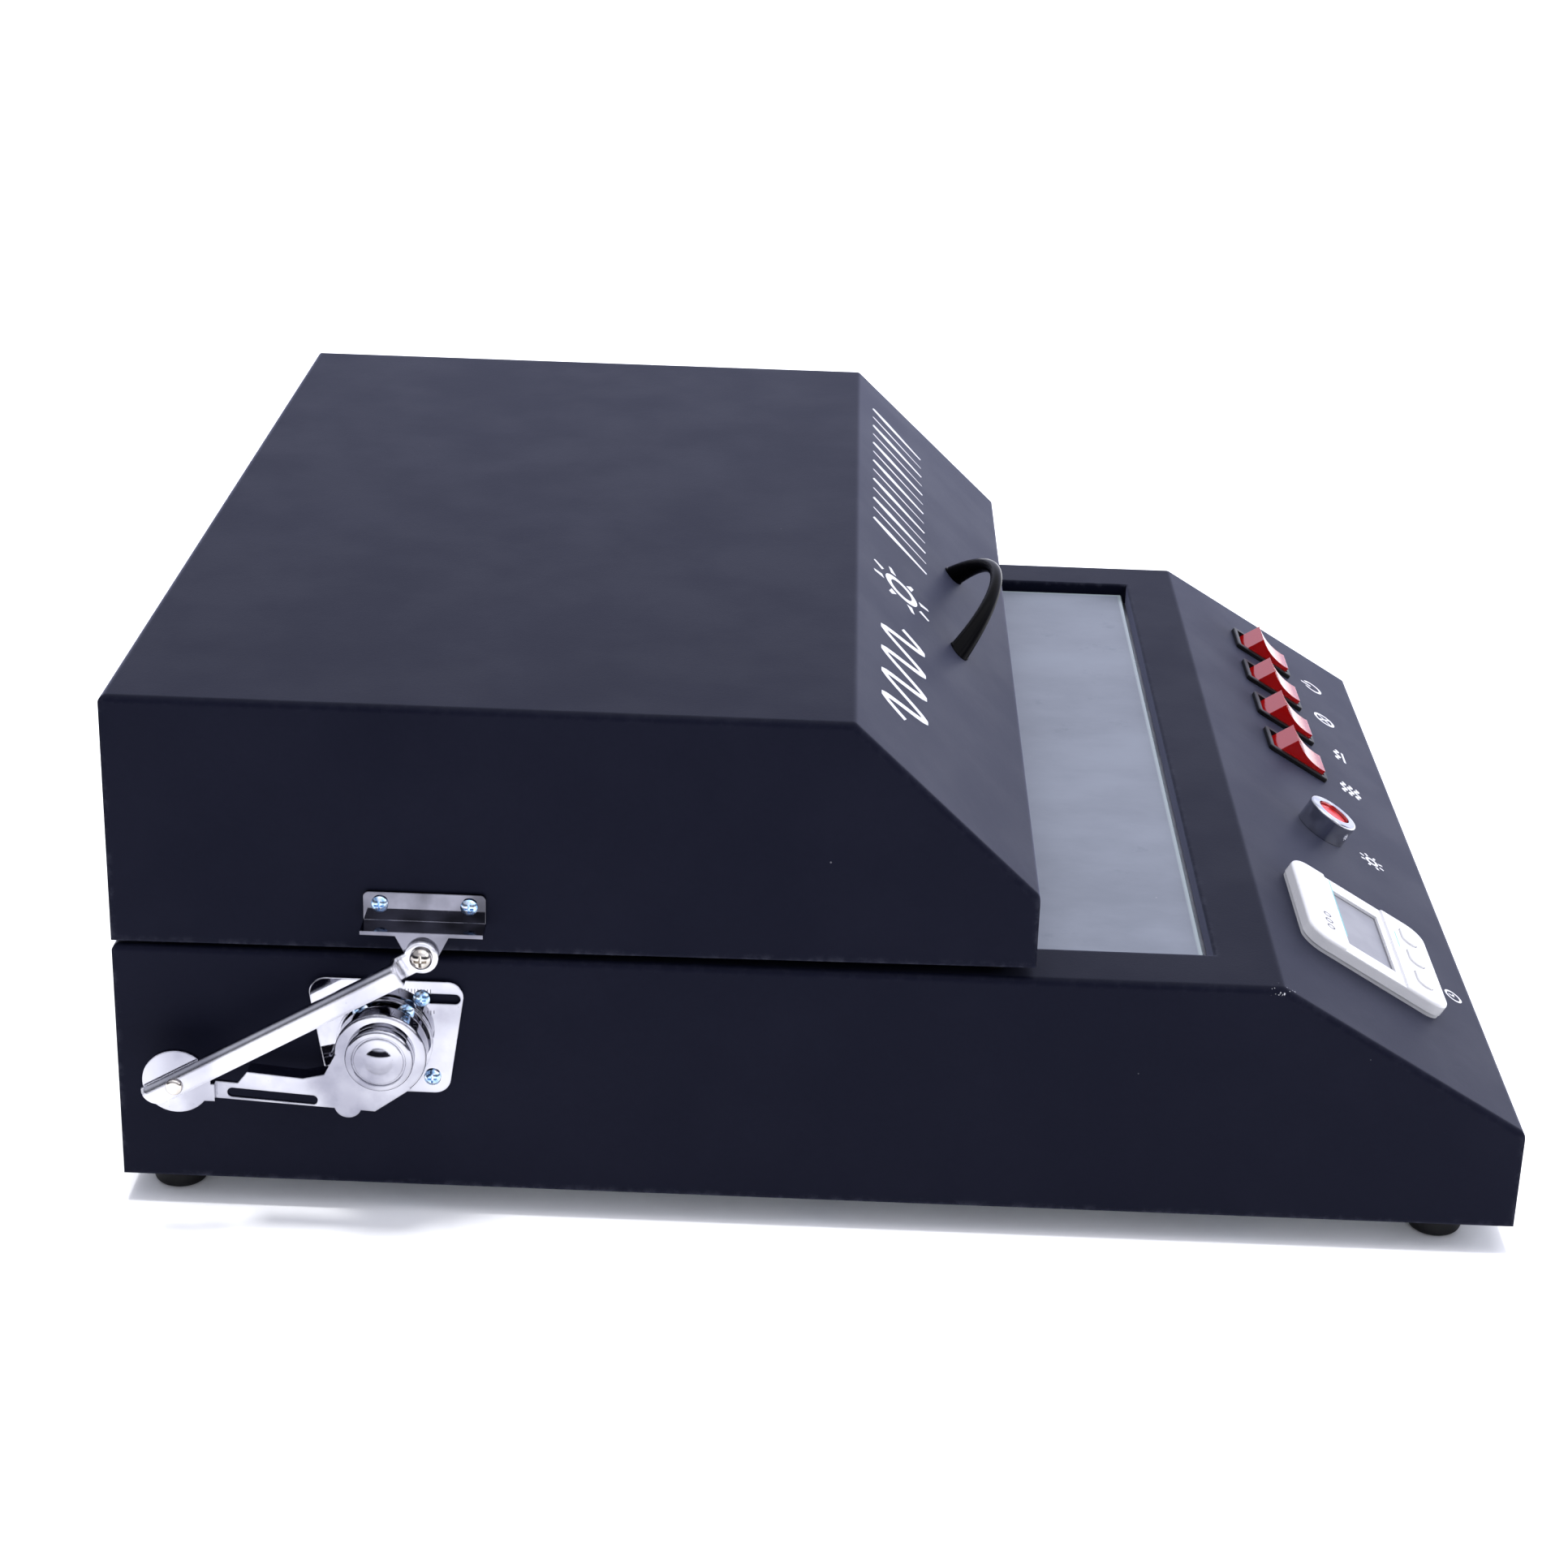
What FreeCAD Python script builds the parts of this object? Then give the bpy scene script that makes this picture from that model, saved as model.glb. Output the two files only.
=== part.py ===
"""Desktop UV curing box: a sheet-metal base with a glass work plate, a hinged lid on two
free-stop stays, a sloped control panel and the lamps, ballasts and mains inlet inside.

Millimetres, +Z up. The origin is under the middle of the whole box, at the bottom of the
feet. The control panel faces -Y, and +X is at the operator's right hand.
"""
import FreeCAD, Part
import math
import os

os.makedirs("parts", exist_ok=True)

Vector = FreeCAD.Vector

# ---- sheet-metal housing ------------------------------------------------------------
SHEET = 1.2                    # steel sheet of the base and the lid
BEND_RADIUS = 2.5              # outer radius of every bend
BASE_WIDTH = 474.0             # along X
BASE_LENGTH = 515.0            # along Y, front face to rear face
BASE_HEIGHT = 93.7             # underside of the housing to the deck
FRONT_HEIGHT = 38.5            # low front face under the sloped panel
PANEL_RUN = 92.9               # how far the sloped panel reaches along Y
RETURN_WIDTH = 12.0            # folded-in edges that the bottom plate is screwed to
BOTTOM_INSET = 4.0             # bottom plate, in from the outer faces
VENT_COUNT = 9                 # in each of two groups
VENT_SPREAD = 44.6             # middle of each group, from the middle of the wall
VENT_PITCH = 8.0
VENT_WIDTH = 3.0
VENT_HEIGHT = 26.0
VENT_HEIGHT_ABOVE_BOTTOM = 56.0

FOOT_DIAMETER = 20.0
FOOT_HEIGHT = 10.8
FOOT_ROUND = 2.5
FOOT_NUT = (7.0, 3.2)          # across flats, thickness
FOOT_FROM_SIDE = 20.0
FOOT_FROM_FRONT = 25.0

# ---- work plate ---------------------------------------------------------------------
RECESS_FROM_SIDE = 26.7        # opening in the deck, in from each side face
RECESS_FROM_PANEL = 22.6       # strip of deck between the panel and the opening
RECESS_FROM_REAR = 45.0
RECESS_FLANGE = 14.0           # depth of the folded-down rim of the opening
RECESS_ROUND = 1.0
GLASS_DROP = 4.5               # top of the glass below the deck
GLASS_THICKNESS = 5.0
GLASS_CLEARANCE = 2.5
LEDGE_WIDTH = 10.0
LEDGE_THICKNESS = 1.5

# ---- lamps and ballasts -------------------------------------------------------------
TUBE_DIAMETER = 26.0
TUBE_FROM_SIDE = 18.0          # end of a tube, in from each side face
TUBE_BELOW_GLASS = 6.0         # clear space between glass and tubes
TUBE_CAP_LENGTH = 14.0
MAIN_TUBE_COUNT = 4
MAIN_TUBE_SHARE = 0.47         # of the tubes' space, taken by the main bank
FIRST_TUBE_FROM_RECESS = 40.0  # rear tube, from the rear edge of the opening
FRONT_TUBE_FROM_RECESS = 34.0  # pre-curing tube, from the front edge of the opening
WORK_LAMP_SHARE = 0.22         # of the same space, pre-curing tube to work lamp
HOLDER_THICKNESS = 9.0
HOLDER_WIDTH = 30.0
TRAY_SHEET = 0.8
TRAY_CLEARANCE = 5.0           # tubes above the reflector
TRAY_FOOT = 14.0
TRAY_FOOT_CLEARANCE = 4.0      # feet clear of the housing's folded-in edges
BALLAST_LENGTH = 150.0
BALLAST_WIDTH = 40.0
BALLAST_HEIGHT = 24.0
BALLAST_FOOT = 14.0
BALLAST_FOOT_WIDTH = 28.0
BALLAST_CORNER = 2.0
BALLAST_SPREAD = 35.0          # each ballast, before and behind the middle

# ---- lid ----------------------------------------------------------------------------
LID_TOP = 95.7                 # top of the lid above the deck
LID_TOP_LENGTH = 264.3         # flat top, from the rear face
LID_LENGTH = 332.6             # rear face to the lid's front face
LID_NOSE_TOP = 32.1            # where the slope meets the front face, above the deck
LID_GAP_REAR = 1.7             # lid edge above the deck
LID_GAP_FRONT = 4.7
LID_RETURN = 10.0
LINER_SHEET = 0.8
LINER_GAP = 3.0
LINER_DEPTH = 40.0
BUMPER_DIAMETER = 9.0
BUMPER_FROM_SIDE = 12.0
BUMPER_FROM_FRONT = 14.0
RUNNING_GAP = 0.3              # clearance between pieces that move past each other

# ---- hinges -------------------------------------------------------------------------
HINGE_FROM_SIDE = 87.0         # middle of each hinge, in from the side face
HINGE_LENGTH = 60.0
HINGE_LEAF = 22.0
HINGE_LEAF_THICKNESS = 1.5
KNUCKLE_RADIUS = 3.0
HINGE_PIN_RADIUS = 1.5
PIN_CLEARANCE = 0.05
HINGE_SCREW_SPACING = 40.0

# ---- handle -------------------------------------------------------------------------
HANDLE_SPACING = 96.0          # between the two screws
HANDLE_REACH = 26.0            # top of the bow above the slope
HANDLE_DOWN_SLOPE = 59.0
HANDLE_FOOT_RADIUS = 4.6
HANDLE_GRIP_RADIUS = 2.5
HANDLE_PAD = (0.3, 0.8)        # foot pads: wider than the foot by, height
HANDLE_SCREW_DEPTH = 3.5

# ---- rocker switches ----------------------------------------------------------------
SWITCH_FROM_SIDE = 50.5        # last switch, in from the right-hand side face
SWITCH_PITCH = 44.0
SWITCH_NAMES = ("power", "lamp", "pre_uv", "main_uv")
SWITCH_DOWN_SLOPE = 49.3
SWITCH_FLANGE_WIDTH = 25.5
SWITCH_FLANGE_LENGTH = 31.0
SWITCH_FLANGE_HEIGHT = 2.0
SWITCH_BODY_WIDTH = 22.0
SWITCH_BODY_LENGTH = 28.6
SWITCH_BODY_DEPTH = 19.0
SWITCH_FIT = 0.2
TERMINAL = (6.3, 0.8, 9.0)     # width, thickness, length
TERMINAL_SPREAD = (5.5, 8.0)
POCKET_LENGTH = 27.2
ROCKER_WIDTH = 19.0
ROCKER_CLEARANCE = 0.3
ROCKER_TILT = 17.0             # degrees each side of level
ROCKER_PIVOT_DEPTH = 5.0
ROCKER_RIDGE = (9.8, 12.2)     # along, above the pivot
ROCKER_MIDDLE = 10.4
ROCKER_WAIST = 12.0            # half length at the pivot
ROCKER_ROOT = (8.0, 4.5)       # half length and depth below the pivot
ROCKER_PIN_RADIUS = 1.25

# ---- indicator ----------------------------------------------------------------------
INDICATOR_X = -29.0
INDICATOR_DOWN_SLOPE = 50.0
BEZEL_DIAMETER = 22.5
BEZEL_HEIGHT = 10.0
BARREL_DIAMETER = 16.0
BARREL_LENGTH = 24.0
LENS_DIAMETER = 15.0
LENS_RECESS = 1.2
LENS_DEPTH = 5.0               # bezel rim to the lens's shoulder
BEZEL_WALL = 1.5
NUT_WIDTH = 21.0
NUT_THICKNESS = 3.0

# ---- timer --------------------------------------------------------------------------
TIMER_FROM_SIDE = 95.5         # in from the left-hand side face
TIMER_DOWN_SLOPE = 50.0
TIMER_WIDTH = 70.0
TIMER_LENGTH = 65.0
TIMER_CORNER = 9.0
TIMER_HEIGHT = 6.8
TIMER_STEP = 1.1               # the display zone lies lower than the two ends
TIMER_WALL = 1.2
TIMER_BACK = 1.5
TIMER_REAR_ZONE = 16.0
TIMER_FRONT_ZONE = 20.5
DISPLAY_WIDTH = 50.0
DISPLAY_LENGTH = 22.0
DISPLAY_FRAME = 2.0
DISPLAY_THICKNESS = 1.6
BUTTON_X = (-19.0, 0.0, 19.0)
BUTTON_WIDTH = 13.0
BUTTON_LENGTH = 7.0
BUTTON_PROUD = 0.85
BUTTON_TRAVEL = 0.8
BUTTON_FLANGE = 1.2

# ---- lid stays: (in front of the rear face, above the deck), levels out from the side -
STAY_DRUM = (98.3, -34.1)
STAY_RIVET = (24.9, -45.8)
STAY_PIVOT = (113.7, 5.9)      # moving pivot on the lid
STAY_SHEET = 1.5
STAY_PLATE_TOP = -9.3
STAY_PLATE_BOTTOM = -54.3
STAY_PLATE_TOP_SPAN = (70.2, 128.0)
STAY_PLATE_BOTTOM_SPAN = (77.5, 121.4)
STAY_POT_RADIUS = 17.5
STAY_BARREL_RADIUS = 12.0
STAY_SPINDLE_RADIUS = 8.95
STAY_RING_RADIUS = 16.7
STAY_CAP_RADIUS = 12.4
STAY_CAP_HEIGHT = 3.6
STAY_CAP_ROUND = 1.4
STAY_CAP_GROOVE = (9.8, 0.9, 0.5)          # radius, width, depth
STAY_DOME_RADIUS = 5.3
STAY_DOME_BALL = 10.0                      # radius that the dome is part of
STAY_ARM_LEVEL = 12.3          # inner face of the lower arm, out from the side
STAY_RIM_LEVEL = 6.5
ARM_TOP_EDGE = ((13.1, -0.6), (21.6, -1.2), (25.1, 3.4), (45.1, 1.6), (53.1, 3.6))   # from the rivet
ARM_LOW_END = (13.1, -7.4)                 # from the rivet
ARM_HEEL = (-2.2, -22.3)                   # from the drum
ARM_THROAT = (11.0, -12.6)                 # from the drum
ARM_BUMP = (-12.0, -20.2, 5.0)             # from the drum, and its radius
ARM_SLOT = ((19.6, -5.0), (48.6, -6.9))    # from the rivet
ARM_SLOT_HALF = 1.9
ARM_STEP_START = 9.1                       # set-out towards the disc, from the rivet
ARM_ROUND = 1.2
STAY_DISC_RADIUS = 12.3
STAY_DISC_LEVEL = 14.6
STAY_DISC_THICKNESS = 2.0
STAY_BAR_OUTER = 20.4
STAY_BAR_HALF_WIDTH = 4.1
STAY_BAR_OVERHANG = 12.2
STAY_BAR_BEND = 2.8                        # outer radius of the bar's bend
STAY_EYE_RADIUS = 6.0
STAY_EYE_THICKNESS = 2.0
STAY_EYE_LENGTH = 8.5
PIVOT_HEAD = (4.0, 3.4)                    # radius, height
RIVET_RADIUS = 2.0
RIVET_HEAD_RADIUS = 3.1
RIVET_HEAD_HEIGHT = 1.6
BRACKET_TOP = 25.4
BRACKET_BOTTOM = 14.5
BRACKET_SPAN = (91.6, 135.4)
BRACKET_REACH = 11.4
BRACKET_SCREW_SPACING = 32.0
BRACKET_SCREW_HEIGHT = 20.9
BRACKET_TAB_TOP = 20.6
BRACKET_TAB_RADIUS = 6.0
SLOT_WIDTH = 4.0
SLOT_REACH = 12.0
SLOT_SCREW = (112.0, -16.1)
LOW_SCREW = (115.6, -47.8)
POT_SCREW_REACH = 15.4
POT_SCREW_ANGLES = (-32.0, 32.0)
PLATE_CORNER = 6.0

# ---- fasteners and inlet ------------------------------------------------------------
SCREW_RADIUS = 1.5             # M3
SCREW_HEAD_RADIUS = 3.1
SCREW_HEAD_HEIGHT = 2.2
SCREW_LENGTH = 8.0
SHORT_SCREW_LENGTH = 5.0
FOOT_SCREW_RADIUS = 2.0        # M4
FOOT_SCREW_HEAD_RADIUS = 4.0
FOOT_SCREW_HEAD_HEIGHT = 2.6
INLET_FROM_SIDE = 72.0
INLET_BELOW_DECK = 47.7
INLET_FLANGE = (50.0, 24.0)
INLET_FLANGE_THICKNESS = 2.5
INLET_BODY = (28.0, 20.5)
INLET_CAVITY = (24.2, 16.6)
INLET_BEVEL = 5.0
INLET_DEPTH = 22.0
INLET_CAVITY_DEPTH = 17.0
INLET_SCREW_SPACING = 40.0
INLET_PIN = (2.0, 4.0)
INLET_PIN_LENGTH = 11.0
INLET_PIN_SPREAD = 7.0
INLET_EARTH_RISE = 4.0

# ---- derived places -----------------------------------------------------------------
HALF_WIDTH = BASE_WIDTH / 2
SWITCH_X = [HALF_WIDTH - SWITCH_FROM_SIDE - SWITCH_PITCH * i for i in range(len(SWITCH_NAMES))]
TIMER_X = -(HALF_WIDTH - TIMER_FROM_SIDE)
INLET_X = HALF_WIDTH - INLET_FROM_SIDE
RECESS_WIDTH = BASE_WIDTH - 2 * RECESS_FROM_SIDE
TUBE_LENGTH = BASE_WIDTH - 2 * TUBE_FROM_SIDE
HINGE_PROUD = 2 * KNUCKLE_RADIUS
FRONT = -(BASE_LENGTH + HINGE_PROUD) / 2
REAR = FRONT + BASE_LENGTH
FLOOR_GAP = FOOT_HEIGHT + SHEET            # table to the underside of the housing
DECK = FLOOR_GAP + BASE_HEIGHT
BREAK = FRONT + PANEL_RUN                  # where the deck turns down into the panel
PANEL_DROP = BASE_HEIGHT - FRONT_HEIGHT
PANEL_ANGLE = math.degrees(math.atan2(PANEL_DROP, PANEL_RUN))
RECESS_FRONT = BREAK + RECESS_FROM_PANEL
RECESS_REAR = REAR - RECESS_FROM_REAR
GLASS_TOP = DECK - GLASS_DROP
GLASS_BOTTOM = GLASS_TOP - GLASS_THICKNESS
TUBE_AXIS = GLASS_BOTTOM - LEDGE_THICKNESS - TUBE_BELOW_GLASS - TUBE_DIAMETER / 2
TRAY_TOP = TUBE_AXIS - TUBE_DIAMETER / 2 - TRAY_CLEARANCE
LID_FRONT = REAR - LID_LENGTH
LID_BREAK = REAR - LID_TOP_LENGTH
LID_CEILING = DECK + LID_TOP
LID_NOSE = DECK + LID_NOSE_TOP
LID_ANGLE = math.degrees(math.atan2(LID_CEILING - LID_NOSE, LID_BREAK - LID_FRONT))
HINGE_Y = REAR + KNUCKLE_RADIUS
HINGE_Z = DECK + LID_GAP_REAR / 2
BAR_DIRECTION = (STAY_PIVOT[0] - STAY_RIVET[0], STAY_RIVET[1] - STAY_PIVOT[1])
BAR_LENGTH = math.hypot(*BAR_DIRECTION)
BAR_ANGLE = math.degrees(math.atan2(BAR_DIRECTION[1], BAR_DIRECTION[0]))
ARM_INNER = STAY_ARM_LEVEL
ARM_OUTER = STAY_ARM_LEVEL + STAY_SHEET
BAR_INNER = STAY_DISC_LEVEL + STAY_DISC_THICKNESS + RUNNING_GAP

PANEL = FreeCAD.Placement(Vector(0, BREAK, DECK), FreeCAD.Rotation(Vector(1, 0, 0), PANEL_ANGLE))
SLOPE = FreeCAD.Placement(Vector(0, LID_BREAK, LID_CEILING), FreeCAD.Rotation(Vector(1, 0, 0), LID_ANGLE))


# ---- shape helpers ------------------------------------------------------------------
def box(x, y, z):
    """A box from three (low, high) pairs."""
    corner = Vector(min(x), min(y), min(z))
    return Part.makeBox(abs(x[1] - x[0]), abs(y[1] - y[0]), abs(z[1] - z[0]), corner)


def centred_box(width, length, z, centre=(0.0, 0.0)):
    """A box centred on a point of the XY plane, between two heights."""
    half_w = width / 2
    half_l = length / 2
    return box((centre[0] - half_w, centre[0] + half_w), (centre[1] - half_l, centre[1] + half_l), z)


def cylinder(radius, start, end):
    """A cylinder between two points."""
    axis = end - start
    return Part.makeCylinder(radius, axis.Length, start, axis)


def upright(radius, centre, z):
    """A vertical cylinder between two heights."""
    return cylinder(radius, Vector(centre[0], centre[1], z[0]), Vector(centre[0], centre[1], z[1]))


def prism_x(outline, x):
    """An outline of (y, z) points pushed along X between two places."""
    points = [Vector(x[0], p[0], p[1]) for p in outline]
    face = Part.Face(Part.makePolygon(points + points[:1]))
    return face.extrude(Vector(x[1] - x[0], 0, 0))


def fused(shapes):
    """One clean solid from several that touch or overlap."""
    first = shapes[0].fuse(shapes[1:]) if len(shapes) > 1 else shapes[0]
    return first.removeSplitter()


def cut_all(shape, tools):
    """Take every tool out of a shape."""
    return shape.cut(tools) if tools else shape


def rounded(shape, radius, keep):
    """Round every edge whose ends both pass the test."""
    edges = [e for e in shape.Edges if all(keep(v.Point) for v in e.Vertexes) and len(e.Vertexes) == 2]
    return shape.makeFillet(radius, edges)


def round_uprights(shape, radius):
    """Round the edges that run along Z."""
    edges = []
    for edge in shape.Edges:
        if len(edge.Vertexes) != 2:
            continue
        run = edge.Vertexes[1].Point - edge.Vertexes[0].Point
        if abs(run.x) + abs(run.y) < 1e-6:
            edges.append(edge)
    return shape.makeFillet(radius, edges)


def placed(shape, placement):
    """A copy of a shape in another frame."""
    copy = shape.copy()
    copy.Placement = placement.multiply(copy.Placement)
    return copy


def mirrored(shape):
    """The same shape on the other side of the box."""
    return shape.mirror(Vector(0, 0, 0), Vector(1, 0, 0))


def save(name, shapes):
    """Write one node: a solid, or a group of separate solids."""
    group = shapes if isinstance(shapes, list) else [shapes]
    solids = [solid for shape in group for solid in shape.Solids]
    shape = solids[0] if len(solids) == 1 else Part.makeCompound(solids)
    shape.exportStep("parts/" + name + ".step")


def pan_screw(radius, head_radius, head_height, length):
    """A pan-head screw with a cross recess, its seat at the origin and its head up."""
    rim = 0.35 * head_height
    top = Part.Arc(Vector(head_radius, 0, rim), Vector(0.62 * head_radius, 0, 0.86 * head_height),
                   Vector(0, 0, head_height)).toShape()
    outline = [
        Part.makeLine(Vector(0, 0, -length), Vector(radius, 0, -length)),
        Part.makeLine(Vector(radius, 0, -length), Vector(radius, 0, 0)),
        Part.makeLine(Vector(radius, 0, 0), Vector(head_radius, 0, 0)),
        Part.makeLine(Vector(head_radius, 0, 0), Vector(head_radius, 0, rim)),
        top,
        Part.makeLine(Vector(0, 0, head_height), Vector(0, 0, -length)),
    ]
    body = Part.Face(Part.Wire(outline)).revolve(Vector(0, 0, 0), Vector(0, 0, 1), 360)
    slot = 0.24 * head_radius
    reach = 1.15 * head_radius
    deep = (0.35 * head_height, head_height + 1)
    return body.cut([centred_box(slot, reach, deep), centred_box(reach, slot, deep)])


def set_screw(screw, seat, outward):
    """Seat a screw at a point with its head facing outward."""
    turn = FreeCAD.Rotation(Vector(0, 0, 1), outward)
    return placed(screw, FreeCAD.Placement(seat, turn))


def shank_hole(seat, outward, radius, length):
    """The hole that a screw of this radius needs below its seat, and a little above."""
    return cylinder(radius, seat + outward, seat - outward * length)


# ---- places that several pieces share -----------------------------------------------
X_OUT = Vector(1, 0, 0)
DOWN = Vector(0, 0, -1)
BACK = Vector(0, 1, 0)


def side_point(place, out):
    """A point on the right-hand side: (from the rear, above the deck), out."""
    return Vector(HALF_WIDTH + out, REAR - place[0], DECK + place[1])


def side_outline(places):
    """Places on the side as (y, z) pairs."""
    return [(REAR - p[0], DECK + p[1]) for p in places]


def offset(place, step):
    """A place moved by a step along the side face."""
    return (place[0] + step[0], place[1] + step[1])


def side_levels(low, high):
    """Distances out from the side face as X places."""
    return (HALF_WIDTH + low, HALF_WIDTH + high)


FOOT_FROM_REAR = SHEET + RETURN_WIDTH + FOOT_NUT[0] / 2 + RUNNING_GAP
FOOT_CENTRES = {
    "front_left": (-(HALF_WIDTH - FOOT_FROM_SIDE), FRONT + FOOT_FROM_FRONT),
    "front_right": (HALF_WIDTH - FOOT_FROM_SIDE, FRONT + FOOT_FROM_FRONT),
    "rear_left": (-(HALF_WIDTH - FOOT_FROM_SIDE), REAR - FOOT_FROM_REAR),
    "rear_right": (HALF_WIDTH - FOOT_FROM_SIDE, REAR - FOOT_FROM_REAR),
}
RETURN_LINE = SHEET + RETURN_WIDTH / 2
PLATE_SCREWS = [
    Vector(x, y, FOOT_HEIGHT)
    for x in (-(HALF_WIDTH - RETURN_LINE), HALF_WIDTH - RETURN_LINE)
    for y in (FRONT + BASE_LENGTH * 0.2, FRONT + BASE_LENGTH * 0.5, FRONT + BASE_LENGTH * 0.8)
]
HINGE_CENTRES = (HINGE_FROM_SIDE - HALF_WIDTH, HALF_WIDTH - HINGE_FROM_SIDE)
BASE_HINGE_SCREWS = [
    Vector(c + side * HINGE_SCREW_SPACING / 2, REAR + HINGE_LEAF_THICKNESS, HINGE_Z - HINGE_LEAF * 0.65)
    for c in HINGE_CENTRES
    for side in (-1, 1)
]
LID_HINGE_SCREWS = [Vector(p.x, p.y, 2 * HINGE_Z - p.z) for p in BASE_HINGE_SCREWS]
INLET_CENTRE = Vector(INLET_X, REAR, DECK - INLET_BELOW_DECK)
INLET_SCREWS = [
    INLET_CENTRE + Vector(side * INLET_SCREW_SPACING / 2, INLET_FLANGE_THICKNESS, 0)
    for side in (-1, 1)
]
POT_SCREWS = [
    (STAY_DRUM[0] + POT_SCREW_REACH * math.sin(math.radians(a)),
     STAY_DRUM[1] + POT_SCREW_REACH * math.cos(math.radians(a)))
    for a in POT_SCREW_ANGLES
]
BRACKET_MIDDLE = sum(BRACKET_SPAN) / 2
BRACKET_SCREWS = [
    (BRACKET_MIDDLE + side * BRACKET_SCREW_SPACING / 2, BRACKET_SCREW_HEIGHT)
    for side in (-1, 1)
]
HANDLE_FEET = [Vector(side * HANDLE_SPACING / 2, -HANDLE_DOWN_SLOPE, 0) for side in (-1, 1)]
FIRST_TUBE_ROW = RECESS_REAR - FIRST_TUBE_FROM_RECESS
PRE_TUBE_ROW = RECESS_FRONT + FRONT_TUBE_FROM_RECESS
TUBE_SPACE = FIRST_TUBE_ROW - PRE_TUBE_ROW
MAIN_TUBE_PITCH = TUBE_SPACE * MAIN_TUBE_SHARE / (MAIN_TUBE_COUNT - 1)
TUBE_ROWS = [FIRST_TUBE_ROW - i * MAIN_TUBE_PITCH for i in range(MAIN_TUBE_COUNT)]
WORK_LAMP_ROW = PRE_TUBE_ROW + TUBE_SPACE * WORK_LAMP_SHARE


# ---- base housing -------------------------------------------------------------------
def base_block(inset, bottom):
    """The base's outline as a block, its walls moved in by an inset."""
    slope = math.radians(PANEL_ANGLE)
    deck = DECK - inset
    front = FRONT + inset
    rear = REAR - inset
    shift = inset / math.cos(slope)
    panel_at_front = FLOOR_GAP + FRONT_HEIGHT + math.tan(slope) * inset - shift
    panel_at_deck = FRONT + (deck - (FLOOR_GAP + FRONT_HEIGHT) + shift) / math.tan(slope)
    outline = [(rear, bottom), (rear, deck), (panel_at_deck, deck), (front, panel_at_front), (front, bottom)]
    half = HALF_WIDTH - inset
    block = prism_x(outline, (-half, half))
    return rounded(block, BEND_RADIUS - inset, lambda p: p.z > bottom + 1e-3)


def base_housing():
    shell = base_block(0.0, FLOOR_GAP).cut(base_block(SHEET, FLOOR_GAP - 1))
    inner_half = HALF_WIDTH - SHEET
    returns = box((-inner_half, inner_half), (FRONT + SHEET, REAR - SHEET), (FLOOR_GAP, FLOOR_GAP + SHEET))
    inner = inner_half - RETURN_WIDTH
    returns = returns.cut(box(
        (-inner, inner),
        (FRONT + SHEET + RETURN_WIDTH, REAR - SHEET - RETURN_WIDTH),
        (FLOOR_GAP - 1, DECK),
    ))
    half = RECESS_WIDTH / 2
    mouth = box((-half, half), (RECESS_FRONT, RECESS_REAR), (DECK - RECESS_FLANGE, DECK + 1))
    rim = box(
        (-half - SHEET, half + SHEET),
        (RECESS_FRONT - SHEET, RECESS_REAR + SHEET),
        (DECK - RECESS_FLANGE, DECK),
    )
    housing = fused([shell, returns, rim]).cut(mouth)
    housing = rounded(
        housing,
        RECESS_ROUND,
        lambda p: abs(p.z - DECK) < 1e-3 and abs(p.x) < half + 0.01
        and RECESS_FRONT - 0.01 < p.y < RECESS_REAR + 0.01,
    )
    return cut_all(housing, base_cuts())


def base_cuts():
    """Every hole in the base: panel, rear wall, side walls and returns."""
    cuts = []
    for x in SWITCH_X:
        opening = centred_box(
            SWITCH_BODY_WIDTH + 2 * SWITCH_FIT,
            SWITCH_BODY_LENGTH + 2 * SWITCH_FIT,
            (-5, 5),
            (x, -SWITCH_DOWN_SLOPE),
        )
        cuts.append(placed(opening, PANEL))
    barrel = upright(BARREL_DIAMETER / 2 + SWITCH_FIT, (INDICATOR_X, -INDICATOR_DOWN_SLOPE), (-5, 5))
    cuts.append(placed(barrel, PANEL))
    half_body = (INLET_BODY[0] / 2, INLET_BODY[1] / 2)
    cuts.append(box(
        (INLET_X - half_body[0], INLET_X + half_body[0]),
        (REAR - 5, REAR + 5),
        (INLET_CENTRE.z - half_body[1], INLET_CENTRE.z + half_body[1]),
    ))
    for seat in BASE_HINGE_SCREWS + INLET_SCREWS:
        cuts.append(shank_hole(seat, BACK, SCREW_RADIUS, SCREW_LENGTH))
    for seat in PLATE_SCREWS:
        cuts.append(shank_hole(seat, DOWN, SCREW_RADIUS, SCREW_LENGTH))
    for place in POT_SCREWS + [SLOT_SCREW, LOW_SCREW]:
        hole = shank_hole(side_point(place, STAY_SHEET), X_OUT, SCREW_RADIUS, SCREW_LENGTH)
        cuts.extend([hole, mirrored(hole)])
    for side in (-1, 1):
        for i in range(VENT_COUNT):
            x = side * VENT_SPREAD + (i - (VENT_COUNT - 1) / 2) * VENT_PITCH
            cuts.append(vent_slot(x))
    return cuts


def vent_slot(x):
    """One round-ended upright slot through the rear wall."""
    half = (VENT_HEIGHT - VENT_WIDTH) / 2
    middle = FLOOR_GAP + VENT_HEIGHT_ABOVE_BOTTOM
    through = (REAR - 5, REAR + 5)
    levels = (middle - half, middle + half)
    ends = [
        cylinder(VENT_WIDTH / 2, Vector(x, through[0], level), Vector(x, through[1], level))
        for level in levels
    ]
    middle_box = box((x - VENT_WIDTH / 2, x + VENT_WIDTH / 2), through, levels)
    return fused([middle_box] + ends)


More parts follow.
